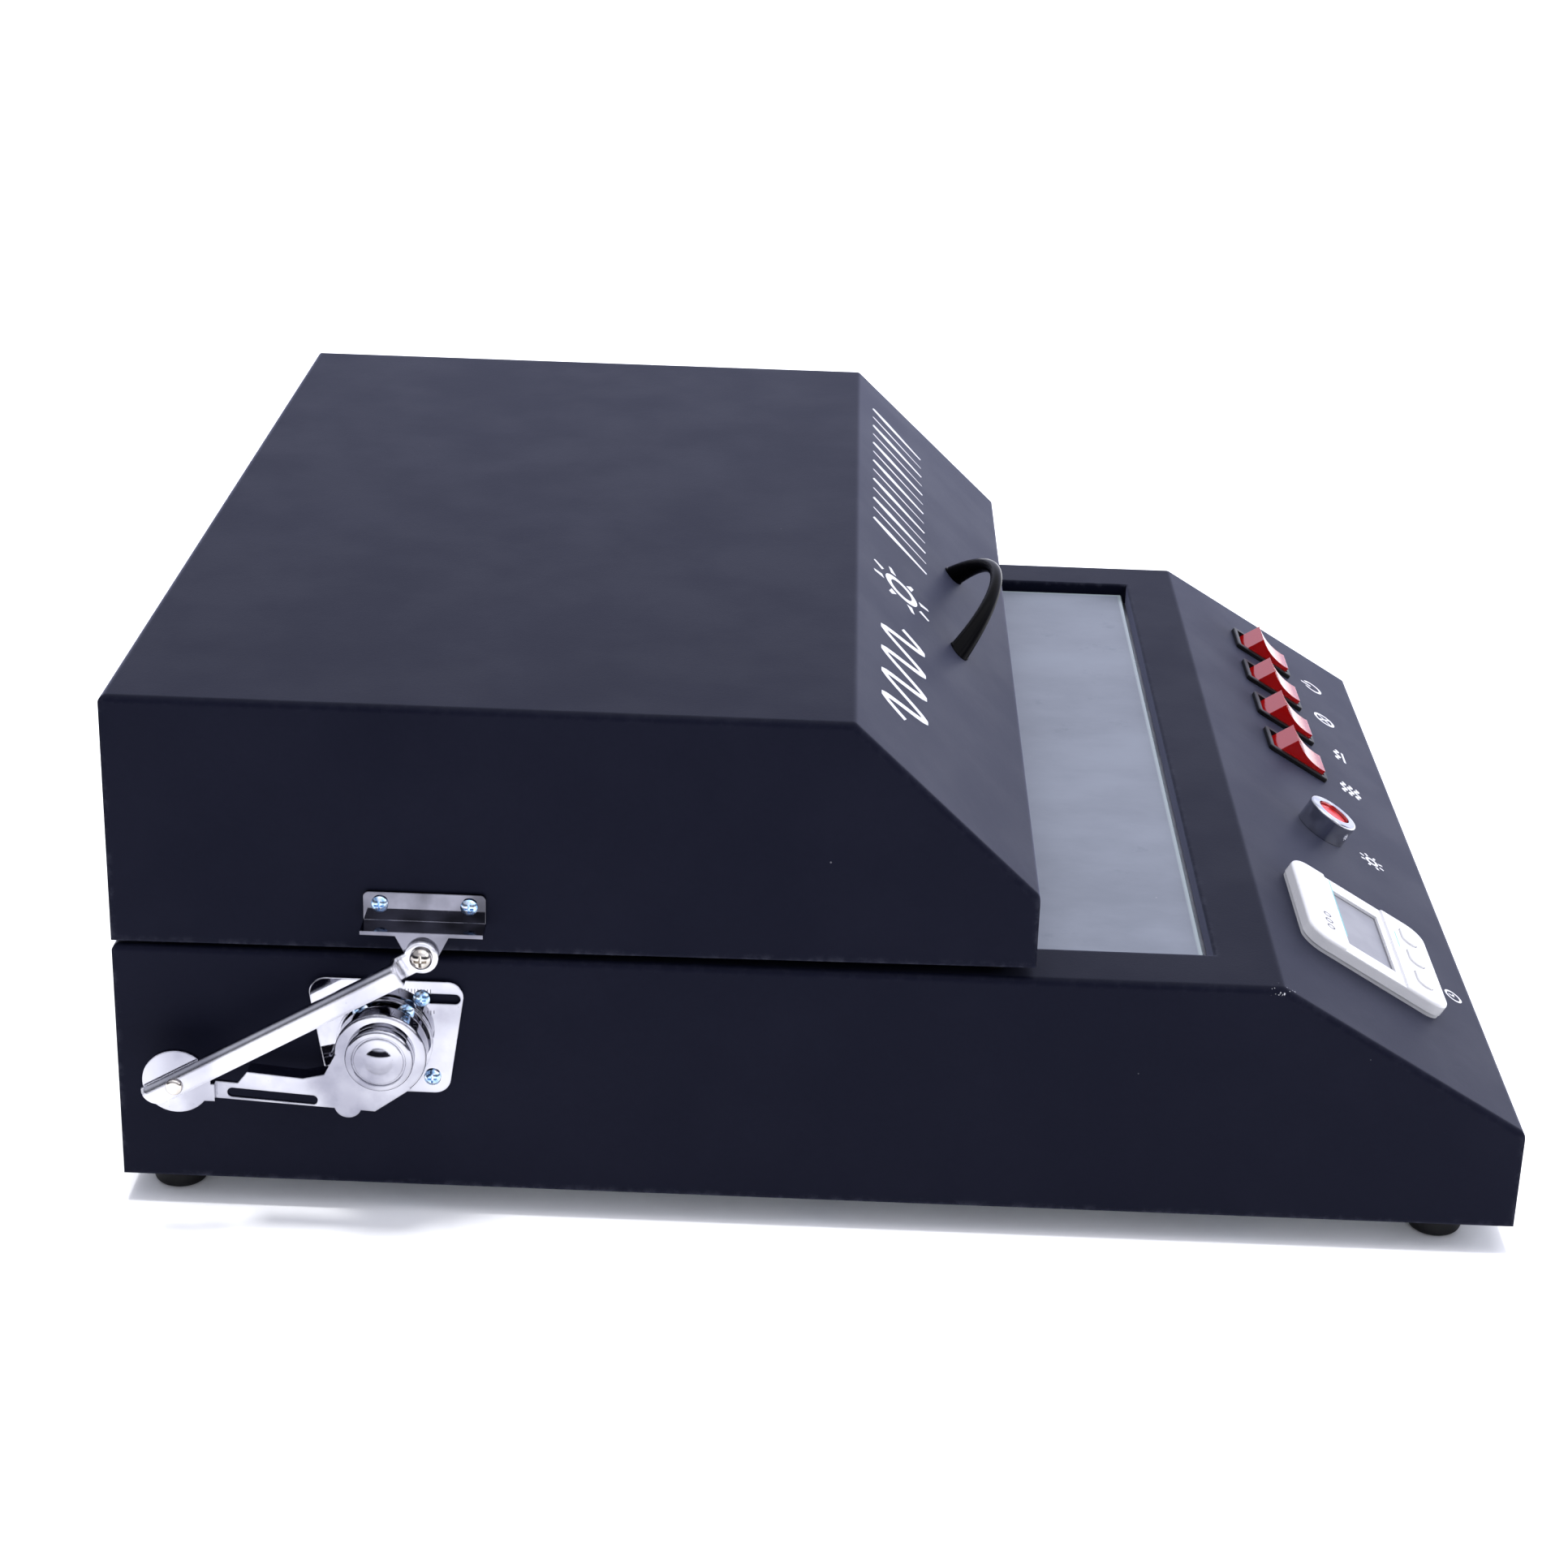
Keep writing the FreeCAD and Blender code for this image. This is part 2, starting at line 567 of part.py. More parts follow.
def bottom_plate():
    half = HALF_WIDTH - BOTTOM_INSET
    plate = box((-half, half), (FRONT + BOTTOM_INSET, REAR - BOTTOM_INSET), (FOOT_HEIGHT, FLOOR_GAP))
    cuts = [upright(FOOT_SCREW_RADIUS, centre, (0, DECK)) for centre in FOOT_CENTRES.values()]
    cuts += [shank_hole(seat, DOWN, SCREW_RADIUS, SCREW_LENGTH) for seat in PLATE_SCREWS]
    return cut_all(plate, cuts)


def foot(centre):
    """A round rubber foot with a rounded lower edge and a well for its screw."""
    body = upright(FOOT_DIAMETER / 2, centre, (0, FOOT_HEIGHT))
    body = body.makeFillet(FOOT_ROUND, [e for e in body.Edges if abs(e.BoundBox.ZMax) < 1e-6])
    well = upright(FOOT_SCREW_HEAD_RADIUS + 0.6, centre, (-1, FOOT_HEIGHT / 2))
    hole = upright(FOOT_SCREW_RADIUS, centre, (-1, FOOT_HEIGHT + 1))
    return body.cut([well, hole])


def foot_screws():
    """Foot screws, each with its nut on the bottom plate."""
    length = FOOT_HEIGHT / 2 + SHEET + 5.0
    screw = pan_screw(FOOT_SCREW_RADIUS, FOOT_SCREW_HEAD_RADIUS, FOOT_SCREW_HEAD_HEIGHT, length)
    solids = []
    for centre in FOOT_CENTRES.values():
        body = set_screw(screw, Vector(centre[0], centre[1], FOOT_HEIGHT / 2), DOWN)
        nut = hexagon(FOOT_NUT[0], FOOT_NUT[1], Vector(centre[0], centre[1], FLOOR_GAP))
        solids.append(fused([body, nut]))
    return solids


def hexagon(across_flats, thickness, base):
    """A hexagonal block standing on a point."""
    radius = across_flats / math.sqrt(3)
    points = [
        base + Vector(radius * math.cos(math.radians(60 * i)), radius * math.sin(math.radians(60 * i)), 0)
        for i in range(6)
    ]
    return Part.Face(Part.makePolygon(points + points[:1])).extrude(Vector(0, 0, thickness))


# ---- work plate ---------------------------------------------------------------------
def glass_ledge():
    """A frame of flat bar under the rim of the opening, which the glass lies on."""
    half = RECESS_WIDTH / 2
    top = GLASS_BOTTOM
    low = top - LEDGE_THICKNESS
    frame = box((-half, half), (RECESS_FRONT, RECESS_REAR), (low, top))
    window = box(
        (-half + LEDGE_WIDTH, half - LEDGE_WIDTH),
        (RECESS_FRONT + LEDGE_WIDTH, RECESS_REAR - LEDGE_WIDTH),
        (low - 1, top + 1),
    )
    return frame.cut(window)


def glass_plate():
    half = RECESS_WIDTH / 2 - GLASS_CLEARANCE
    plate = box(
        (-half, half),
        (RECESS_FRONT + GLASS_CLEARANCE, RECESS_REAR - GLASS_CLEARANCE),
        (GLASS_BOTTOM, GLASS_TOP),
    )
    return plate.makeChamfer(0.5, [e for e in plate.Edges if e.BoundBox.ZMin > GLASS_TOP - 1e-3])


# ---- lamps --------------------------------------------------------------------------
def tube(row):
    """One fluorescent tube along X: glass, with a stepped metal cap at each end."""
    half = TUBE_LENGTH / 2
    radius = TUBE_DIAMETER / 2
    glass = cylinder(radius - 0.4, Vector(-half, row, TUBE_AXIS), Vector(half, row, TUBE_AXIS))
    caps = []
    for side in (-1, 1):
        inner = Vector(side * (half - TUBE_CAP_LENGTH), row, TUBE_AXIS)
        caps.append(cylinder(radius, inner, Vector(side * half, row, TUBE_AXIS)))
    return fused([glass] + caps)


def lampholders():
    """A holder at each end of every tube, standing on the reflector."""
    half = TUBE_LENGTH / 2
    top = TUBE_AXIS + TUBE_DIAMETER / 2
    solids = []
    for row in TUBE_ROWS + [PRE_TUBE_ROW, WORK_LAMP_ROW]:
        for side in (-1, 1):
            ends = (side * half, side * (half + HOLDER_THICKNESS))
            holder = box(ends, (row - HOLDER_WIDTH / 2, row + HOLDER_WIDTH / 2), (TRAY_TOP, top))
            top_edges = [
                e for e in holder.Edges
                if e.BoundBox.ZMin > top - 1e-3 and e.BoundBox.YLength < 1e-3
            ]
            solids.append(holder.makeFillet(HOLDER_WIDTH / 4, top_edges))
    return solids


def reflector_tray():
    """A folded aluminium table under the tubes, standing on the bottom plate."""
    half = TUBE_LENGTH / 2 + HOLDER_THICKNESS + 2
    inner = HALF_WIDTH - SHEET - RETURN_WIDTH - TRAY_FOOT_CLEARANCE
    low = FLOOR_GAP
    front = RECESS_FRONT + 4
    rear = RECESS_REAR - 4
    top = box((-half, half), (front, rear), (TRAY_TOP - TRAY_SHEET, TRAY_TOP))
    legs = [
        box((-inner, inner), (front, front + TRAY_SHEET), (low, TRAY_TOP)),
        box((-inner, inner), (rear - TRAY_SHEET, rear), (low, TRAY_TOP)),
        box((-inner, inner), (front, front + TRAY_FOOT), (low, low + TRAY_SHEET)),
        box((-inner, inner), (rear - TRAY_FOOT, rear), (low, low + TRAY_SHEET)),
    ]
    return fused([top] + legs)


def ballasts():
    """Two ballasts under the reflector, each a cased block with two fixing feet."""
    middle = (RECESS_FRONT + RECESS_REAR) / 2
    solids = []
    low = FLOOR_GAP
    feet_length = BALLAST_LENGTH + 2 * BALLAST_FOOT
    for side in (-1, 1):
        centre = (0.0, middle + side * BALLAST_SPREAD)
        case = centred_box(BALLAST_LENGTH, BALLAST_WIDTH, (low, low + BALLAST_HEIGHT), centre)
        case = round_uprights(case, BALLAST_CORNER)
        feet = centred_box(feet_length, BALLAST_FOOT_WIDTH, (low, low + SHEET), centre)
        solids.append(fused([case, feet]))
    return solids


# ---- mains inlet --------------------------------------------------------------------
def power_inlet():
    """A three-pole appliance inlet: flange, body and the socket that a lead pushes into."""
    flange = box(
        (INLET_X - INLET_FLANGE[0] / 2, INLET_X + INLET_FLANGE[0] / 2),
        (REAR, REAR + INLET_FLANGE_THICKNESS),
        (INLET_CENTRE.z - INLET_FLANGE[1] / 2, INLET_CENTRE.z + INLET_FLANGE[1] / 2),
    )
    corners = [e for e in flange.Edges if e.BoundBox.XLength < 1e-6 and e.BoundBox.ZLength < 1e-6]
    flange = flange.makeFillet(INLET_BEVEL, corners)
    body = box(
        (INLET_X - INLET_BODY[0] / 2, INLET_X + INLET_BODY[0] / 2),
        (REAR + INLET_FLANGE_THICKNESS - INLET_DEPTH, REAR + 0.5),
        (INLET_CENTRE.z - INLET_BODY[1] / 2, INLET_CENTRE.z + INLET_BODY[1] / 2),
    )
    mouth = REAR + INLET_FLANGE_THICKNESS
    half_w = INLET_CAVITY[0] / 2
    half_h = INLET_CAVITY[1] / 2
    bevel = INLET_BEVEL
    outline = [
        (-half_w, -half_h), (half_w, -half_h), (half_w, half_h - bevel),
        (half_w - bevel, half_h), (-half_w + bevel, half_h), (-half_w, half_h - bevel),
    ]
    points = [INLET_CENTRE + Vector(p[0], INLET_FLANGE_THICKNESS + 1, p[1]) for p in outline]
    socket = Part.Face(Part.makePolygon(points + points[:1])).extrude(Vector(0, -INLET_CAVITY_DEPTH - 1, 0))
    cuts = [socket]
    cuts += [shank_hole(seat, BACK, SCREW_RADIUS, SCREW_LENGTH) for seat in INLET_SCREWS]
    cuts += [pin_block(place, mouth - INLET_DEPTH - 1, mouth) for place in inlet_pin_places()]
    return cut_all(fused([flange, body]), cuts)


def inlet_pin_places():
    """Line, neutral and earth, as (x, z) from the middle of the socket."""
    return [(-INLET_PIN_SPREAD, -2.0), (INLET_PIN_SPREAD, -2.0), (0.0, INLET_EARTH_RISE - 2.0)]


def pin_block(place, low, high):
    """A flat pin along Y."""
    x = INLET_CENTRE.x + place[0]
    z = INLET_CENTRE.z + place[1]
    return box(
        (x - INLET_PIN[0] / 2, x + INLET_PIN[0] / 2),
        (low, high),
        (z - INLET_PIN[1] / 2, z + INLET_PIN[1] / 2),
    )


def inlet_pins():
    floor = REAR + INLET_FLANGE_THICKNESS - INLET_CAVITY_DEPTH
    back = REAR + INLET_FLANGE_THICKNESS - INLET_DEPTH - 7
    return [pin_block(place, back, floor + INLET_PIN_LENGTH) for place in inlet_pin_places()]


# ---- switches -----------------------------------------------------------------------
def switch_body(x):
    """A switch frame: rounded flange, body behind the panel, pocket and terminals."""
    flange = centred_box(SWITCH_FLANGE_WIDTH, SWITCH_FLANGE_LENGTH, (0, SWITCH_FLANGE_HEIGHT))
    flange = round_uprights(flange, 2.0)
    top_edges = [e for e in flange.Edges if e.BoundBox.ZMin > SWITCH_FLANGE_HEIGHT - 1e-3]
    flange = flange.makeFillet(0.6, top_edges)
    body = centred_box(SWITCH_BODY_WIDTH, SWITCH_BODY_LENGTH, (-SWITCH_BODY_DEPTH, 0))
    terminals = [
        centred_box(
            TERMINAL[0],
            TERMINAL[1],
            (-SWITCH_BODY_DEPTH - TERMINAL[2], -SWITCH_BODY_DEPTH),
            (sx * TERMINAL_SPREAD[0], sy * TERMINAL_SPREAD[1]),
        )
        for sx in (-1, 1)
        for sy in (-1, 1)
    ]
    pocket_width = ROCKER_WIDTH + 2 * ROCKER_CLEARANCE
    pocket = centred_box(pocket_width, POCKET_LENGTH, (-SWITCH_BODY_DEPTH + 1.5, SWITCH_FLANGE_HEIGHT + 1))
    pin = rocker_pin(ROCKER_PIN_RADIUS + PIN_CLEARANCE)
    shape = fused([flange, body] + terminals).cut([pocket, pin])
    return placed(shape, switch_placement(x))


def switch_placement(x):
    return PANEL.multiply(FreeCAD.Placement(Vector(x, -SWITCH_DOWN_SLOPE, 0), FreeCAD.Rotation()))


def rocker_pin(radius):
    """The rocker's pivot pin across the switch."""
    half = SWITCH_BODY_WIDTH / 2 - 0.4
    return cylinder(radius, Vector(-half, 0, -ROCKER_PIVOT_DEPTH), Vector(half, 0, -ROCKER_PIVOT_DEPTH))


def rocker(x):
    """A rocker with a hollowed face, at rest with its front end pressed."""
    along, up = ROCKER_RIDGE
    left = -ROCKER_WIDTH / 2
    lowest = Vector(left, 0, ROCKER_MIDDLE)
    face = Part.Arc(Vector(left, along, up), lowest, Vector(left, -along, up)).toShape()
    corners = [
        (-along, up), (-ROCKER_WAIST, 0), (-ROCKER_ROOT[0], -ROCKER_ROOT[1]),
        (ROCKER_ROOT[0], -ROCKER_ROOT[1]), (ROCKER_WAIST, 0), (along, up),
    ]
    edges = [face]
    for start, end in zip(corners, corners[1:]):
        edges.append(Part.makeLine(Vector(left, start[0], start[1]), Vector(left, end[0], end[1])))
    block = Part.Face(Part.Wire(Part.__sortEdges__(edges))).extrude(Vector(ROCKER_WIDTH, 0, 0))
    turn = FreeCAD.Rotation(Vector(1, 0, 0), ROCKER_TILT)
    tilt = FreeCAD.Placement(Vector(0, 0, -ROCKER_PIVOT_DEPTH), turn)
    shape = fused([placed(block, tilt), rocker_pin(ROCKER_PIN_RADIUS)])
    return placed(shape, switch_placement(x))


# ---- indicator ----------------------------------------------------------------------
def indicator_bezel():
    centre = (INDICATOR_X, -INDICATOR_DOWN_SLOPE)
    ring = upright(BEZEL_DIAMETER / 2, centre, (0, BEZEL_HEIGHT))
    ring = ring.makeFillet(0.9, [e for e in ring.Edges if e.BoundBox.ZMin > BEZEL_HEIGHT - 1e-3])
    barrel = upright(BARREL_DIAMETER / 2, centre, (-BARREL_LENGTH, 0))
    bore = upright(LENS_DIAMETER / 2, centre, (BEZEL_HEIGHT - LENS_DEPTH, BEZEL_HEIGHT + 1))
    core = upright(BARREL_DIAMETER / 2 - BEZEL_WALL, centre, (-BARREL_LENGTH - 1, BEZEL_HEIGHT))
    return placed(fused([ring, barrel]).cut([bore, core]), PANEL)


def indicator_lens():
    """A domed lens on a shoulder inside the bezel."""
    centre = (INDICATOR_X, -INDICATOR_DOWN_SLOPE)
    low = BEZEL_HEIGHT - LENS_DEPTH
    top = BEZEL_HEIGHT - LENS_RECESS
    lens = upright(LENS_DIAMETER / 2, centre, (low, top))
    lens = lens.makeFillet(1.6, [e for e in lens.Edges if e.BoundBox.ZMin > top - 1e-3])
    return placed(lens, PANEL)


def indicator_nut():
    centre = Vector(INDICATOR_X, -INDICATOR_DOWN_SLOPE, -SHEET - NUT_THICKNESS)
    nut = hexagon(NUT_WIDTH, NUT_THICKNESS, centre)
    return placed(nut.cut(upright(BARREL_DIAMETER / 2, (centre.x, centre.y), (-20, 5))), PANEL)


# ---- timer --------------------------------------------------------------------------
TIMER_CENTRE = (TIMER_X, -TIMER_DOWN_SLOPE)
DISPLAY_CENTRE = (TIMER_X, -TIMER_DOWN_SLOPE + (TIMER_FRONT_ZONE - TIMER_REAR_ZONE) / 2)
BUTTON_ROW = -TIMER_DOWN_SLOPE - TIMER_LENGTH / 2 + TIMER_FRONT_ZONE / 2


def timer_block(inset, z):
    width = TIMER_WIDTH - 2 * inset
    length = TIMER_LENGTH - 2 * inset
    return round_uprights(centred_box(width, length, z, TIMER_CENTRE), TIMER_CORNER - inset)


def timer_case():
    """The timer's front shell: a low display zone between two raised ends."""
    outer = timer_block(0.0, (TIMER_BACK, TIMER_HEIGHT))
    outer = outer.makeFillet(1.6, [e for e in outer.Edges if e.BoundBox.ZMin > TIMER_HEIGHT - 1e-3])
    rear_edge = -TIMER_DOWN_SLOPE + TIMER_LENGTH / 2 - TIMER_REAR_ZONE
    front_edge = -TIMER_DOWN_SLOPE - TIMER_LENGTH / 2 + TIMER_FRONT_ZONE
    low = TIMER_HEIGHT - TIMER_STEP
    across = (TIMER_X - TIMER_WIDTH, TIMER_X + TIMER_WIDTH)
    step = box(across, (front_edge, rear_edge), (low, TIMER_HEIGHT + 1))
    hollow = timer_block(TIMER_WALL, (TIMER_BACK - 1, low - TIMER_WALL))
    window = centred_box(DISPLAY_WIDTH, DISPLAY_LENGTH, (0, TIMER_HEIGHT + 1), DISPLAY_CENTRE)
    wells = [button_block(x, RUNNING_GAP, (0, TIMER_HEIGHT + 1)) for x in BUTTON_X]
    return placed(outer.cut([step, hollow, window] + wells), PANEL)


def button_block(x, grow, z):
    block = centred_box(BUTTON_WIDTH + 2 * grow, BUTTON_LENGTH + 2 * grow, z, (TIMER_X + x, BUTTON_ROW))
    return round_uprights(block, BUTTON_LENGTH / 2 - 0.2 + grow)


def timer_button(x):
    """A button whose inner flange keeps it in the case."""
    inside = TIMER_HEIGHT - TIMER_STEP - TIMER_WALL - RUNNING_GAP
    cap = button_block(x, 0.0, (inside - 1, TIMER_HEIGHT + BUTTON_PROUD))
    cap = cap.makeFillet(0.4, [e for e in cap.Edges if e.BoundBox.ZMin > TIMER_HEIGHT + BUTTON_PROUD - 1e-3])
    flange = button_block(x, BUTTON_FLANGE, (inside - 1, inside))
    return placed(fused([cap, flange]), PANEL)


def timer_display():
    top = TIMER_HEIGHT - TIMER_STEP - TIMER_WALL
    glass = centred_box(
        DISPLAY_WIDTH + 2 * DISPLAY_FRAME,
        DISPLAY_LENGTH + 2 * DISPLAY_FRAME,
        (top - DISPLAY_THICKNESS, top),
        DISPLAY_CENTRE,
    )
    return placed(glass, PANEL)


def timer_back():
    """The timer's back cover, held to the steel panel by its magnets."""
    return placed(timer_block(0.4, (0, TIMER_BACK)), PANEL)


# ---- lid ----------------------------------------------------------------------------
def lid_edge(y):
    """Height of the lid's lower edge at a place along Y."""
    share = (REAR - y) / LID_LENGTH
    return DECK + LID_GAP_REAR + (LID_GAP_FRONT - LID_GAP_REAR) * share


def lid_block(inset, drop):
    """The lid as a block, walls moved in by an inset and the open side moved down."""
    slope = math.radians(LID_ANGLE)
    ceiling = LID_CEILING - inset
    front = LID_FRONT + inset
    rear = REAR - inset
    shift = inset / math.cos(slope)
    nose = LID_NOSE + math.tan(slope) * inset - shift
    top_break = LID_FRONT + (ceiling - LID_NOSE + shift) / math.tan(slope)
    outline = [
        (rear, lid_edge(rear) - drop), (rear, ceiling), (top_break, ceiling),
        (front, nose), (front, lid_edge(front) - drop),
    ]
    half = HALF_WIDTH - inset
    block = prism_x(outline, (-half, half))
    low = max(lid_edge(rear), lid_edge(front)) - drop + 1e-3
    return rounded(block, BEND_RADIUS - inset, lambda p: p.z > low)


def lid_shell():
    """The lid: a bent hood with a narrow folded-in edge all round its open side."""
    shell = lid_block(0.0, 0.0).cut(lid_block(SHEET, 1.0))
    half = HALF_WIDTH - SHEET
    rear = REAR - SHEET
    front = LID_FRONT + SHEET
    edge = [
        (rear, lid_edge(rear)), (rear, lid_edge(rear) + SHEET),
        (front, lid_edge(front) + SHEET), (front, lid_edge(front)),
    ]
    returns = prism_x(edge, (-half, half))
    inner = half - LID_RETURN
    returns = returns.cut(box((-inner, inner), (front + LID_RETURN, rear - LID_RETURN), (0, LID_CEILING)))
    cuts = []
    for seat in LID_HINGE_SCREWS:
        cuts.append(shank_hole(seat, BACK, SCREW_RADIUS, SCREW_LENGTH))
    for place in BRACKET_SCREWS:
        hole = shank_hole(side_point(place, STAY_SHEET), X_OUT, SCREW_RADIUS, SCREW_LENGTH)
        cuts.extend([hole, mirrored(hole)])
    for foot_centre in HANDLE_FEET:
        cuts.append(placed(upright(FOOT_SCREW_RADIUS, (foot_centre.x, foot_centre.y), (-5, 5)), SLOPE))
    return cut_all(fused([shell, returns]), cuts)


def lid_reflector():
    """A bright liner under the lid's top, with short turned-down skirts."""
    half = HALF_WIDTH - SHEET - LINER_GAP
    top = LID_CEILING - SHEET
    front = LID_BREAK + LINER_GAP
    rear = REAR - SHEET - LINER_GAP
    outer = box((-half, half), (front, rear), (top - LINER_DEPTH, top))
    inner = box(
        (-half + LINER_SHEET, half - LINER_SHEET),
        (front + LINER_SHEET, rear - LINER_SHEET),
        (top - LINER_DEPTH - 1, top - LINER_SHEET),
    )
    return outer.cut(inner)


def lid_bumpers():
    """Rubber pads under the lid's folded edge, which meet the deck."""
    solids = []
    for side in (-1, 1):
        centre = (side * (HALF_WIDTH - BUMPER_FROM_SIDE), LID_FRONT + BUMPER_FROM_FRONT)
        pad = upright(BUMPER_DIAMETER / 2, centre, (DECK + RUNNING_GAP, DECK + 3 * LID_GAP_FRONT))
        below = prism_x(
            [(REAR, DECK), (REAR, lid_edge(REAR)), (LID_FRONT, lid_edge(LID_FRONT)), (LID_FRONT, DECK)],
            (-HALF_WIDTH, HALF_WIDTH),
        )
        solids.append(pad.common(below))
    return solids


def lid_handle():
    """A bow handle that tapers towards its middle, its feet cut off flush with the slope."""
    half = HANDLE_SPACING / 2
    crown = HANDLE_REACH - HANDLE_GRIP_RADIUS
    radius = (half ** 2 + crown ** 2) / (2 * crown)
    sweep = math.asin(half / radius) if crown < radius else math.pi - math.asin(half / radius)
    past_foot = 1 + HANDLE_FOOT_RADIUS / (radius * sweep)
    sections = []
    steps = 8
    for i in range(steps + 1):
        share = (2 * i / steps - 1) * past_foot
        angle = sweep * share
        size = HANDLE_GRIP_RADIUS + (HANDLE_FOOT_RADIUS - HANDLE_GRIP_RADIUS) * share ** 2
        centre = Vector(radius * math.sin(angle), 0, crown - radius + radius * math.cos(angle))
        along = Vector(math.cos(angle), 0, -math.sin(angle))
        sections.append(Part.Wire(Part.Circle(centre, along, size).toShape()))
    bow = Part.makeLoft(sections, True)
    under = centred_box(4 * half, 4 * half, (-4 * half, 0))
    pad_radius = HANDLE_FOOT_RADIUS + HANDLE_PAD[0]
    feet = [upright(pad_radius, (side * half, 0), (0, HANDLE_PAD[1])) for side in (-1, 1)]
    shape = fused([bow.cut(under)] + feet)
    place = FreeCAD.Placement(Vector(0, -HANDLE_DOWN_SLOPE, 0), FreeCAD.Rotation())
    deep = (-1, HANDLE_SCREW_DEPTH + 0.5)
    holes = [upright(FOOT_SCREW_RADIUS, (side * half, 0), deep) for side in (-1, 1)]
    return placed(shape.cut(holes), SLOPE.multiply(place))


def handle_screws():
    """Screws from inside the lid into the handle's feet."""
    length = SHEET + HANDLE_SCREW_DEPTH
    screw = pan_screw(FOOT_SCREW_RADIUS, FOOT_SCREW_HEAD_RADIUS, FOOT_SCREW_HEAD_HEIGHT, length)
    return [
        placed(set_screw(screw, Vector(p.x, p.y, -SHEET), DOWN), SLOPE)
        for p in HANDLE_FEET
    ]


# ---- hinges -------------------------------------------------------------------------
KNUCKLE_SPLIT = HINGE_LENGTH / 6


def knuckle(low, high, radius):
    return cylinder(radius, Vector(low, HINGE_Y, HINGE_Z), Vector(high, HINGE_Y, HINGE_Z))


def hinge_leaf(centre, spans, upper, screws, bore):
    """One leaf: a plate on the rear face, carrying the knuckles in the given spans."""
    sign = 1 if upper else -1
    half = HINGE_LENGTH / 2
    clear = KNUCKLE_RADIUS + RUNNING_GAP
    thickness = (REAR, REAR + HINGE_LEAF_THICKNESS)
    plate = box(
        (centre - half, centre + half),
        thickness,
        (HINGE_Z + sign * clear, HINGE_Z + sign * HINGE_LEAF),
    )
    pieces = [plate]
    bores = []
    for low, high in spans:
        pieces.append(box((centre + low, centre + high), thickness, (HINGE_Z, HINGE_Z + sign * (clear + 1))))
        pieces.append(knuckle(centre + low, centre + high, KNUCKLE_RADIUS))
        bores.append(knuckle(centre + low - 1, centre + high + 1, bore))
    holes = [shank_hole(seat, BACK, SCREW_RADIUS, SCREW_LENGTH) for seat in screws]
    return fused(pieces).cut(bores + holes)


def hinge_base_leaves():
    half = HINGE_LENGTH / 2
    spans = [(-half, -KNUCKLE_SPLIT), (KNUCKLE_SPLIT, half)]
    return [hinge_leaf(c, spans, False, BASE_HINGE_SCREWS, HINGE_PIN_RADIUS) for c in HINGE_CENTRES]


def hinge_lid_leaves():
    inner = KNUCKLE_SPLIT - RUNNING_GAP
    spans = [(-inner, inner)]
    bore = HINGE_PIN_RADIUS + PIN_CLEARANCE
    return [hinge_leaf(c, spans, True, LID_HINGE_SCREWS, bore) for c in HINGE_CENTRES]


def hinge_pins():
    half = HINGE_LENGTH / 2
    return [knuckle(c - half, c + half, HINGE_PIN_RADIUS) for c in HINGE_CENTRES]


# ---- lid stays (right-hand side; the left ones are mirrored) ------------------------
def side_cylinder(place, radius, low, high):
    """A round piece standing out from the side between two levels."""
    return cylinder(radius, side_point(place, low), side_point(place, high))


def stay_plate():
    """The mounting plate, with its adjusting slot."""
    outline = side_outline([
        (STAY_PLATE_TOP_SPAN[0], STAY_PLATE_TOP),
        (STAY_PLATE_TOP_SPAN[1], STAY_PLATE_TOP),
        (STAY_PLATE_BOTTOM_SPAN[1], STAY_PLATE_BOTTOM),
        (STAY_PLATE_BOTTOM_SPAN[0], STAY_PLATE_BOTTOM),
    ])
    plate = prism_x(outline, side_levels(0, STAY_SHEET))
    corners = [e for e in plate.Edges if e.BoundBox.XLength > STAY_SHEET / 2]
    plate = plate.makeFillet(PLATE_CORNER, corners)
    ends = [SLOT_SCREW, (SLOT_SCREW[0] + SLOT_REACH, SLOT_SCREW[1])]
    half = SLOT_WIDTH / 2
    slot = [side_cylinder(end, half, -1, STAY_SHEET + 1) for end in ends]
    slot.append(prism_x(
        side_outline([
            (ends[0][0], ends[0][1] - half), (ends[1][0], ends[1][1] - half),
            (ends[1][0], ends[1][1] + half), (ends[0][0], ends[0][1] + half),
        ]),
        side_levels(-1, STAY_SHEET + 1),
    ))
    holes = [side_cylinder(p, SCREW_RADIUS, -1, STAY_SHEET + 1) for p in POT_SCREWS + [LOW_SCREW]]
    return plate.cut([fused(slot)] + holes)


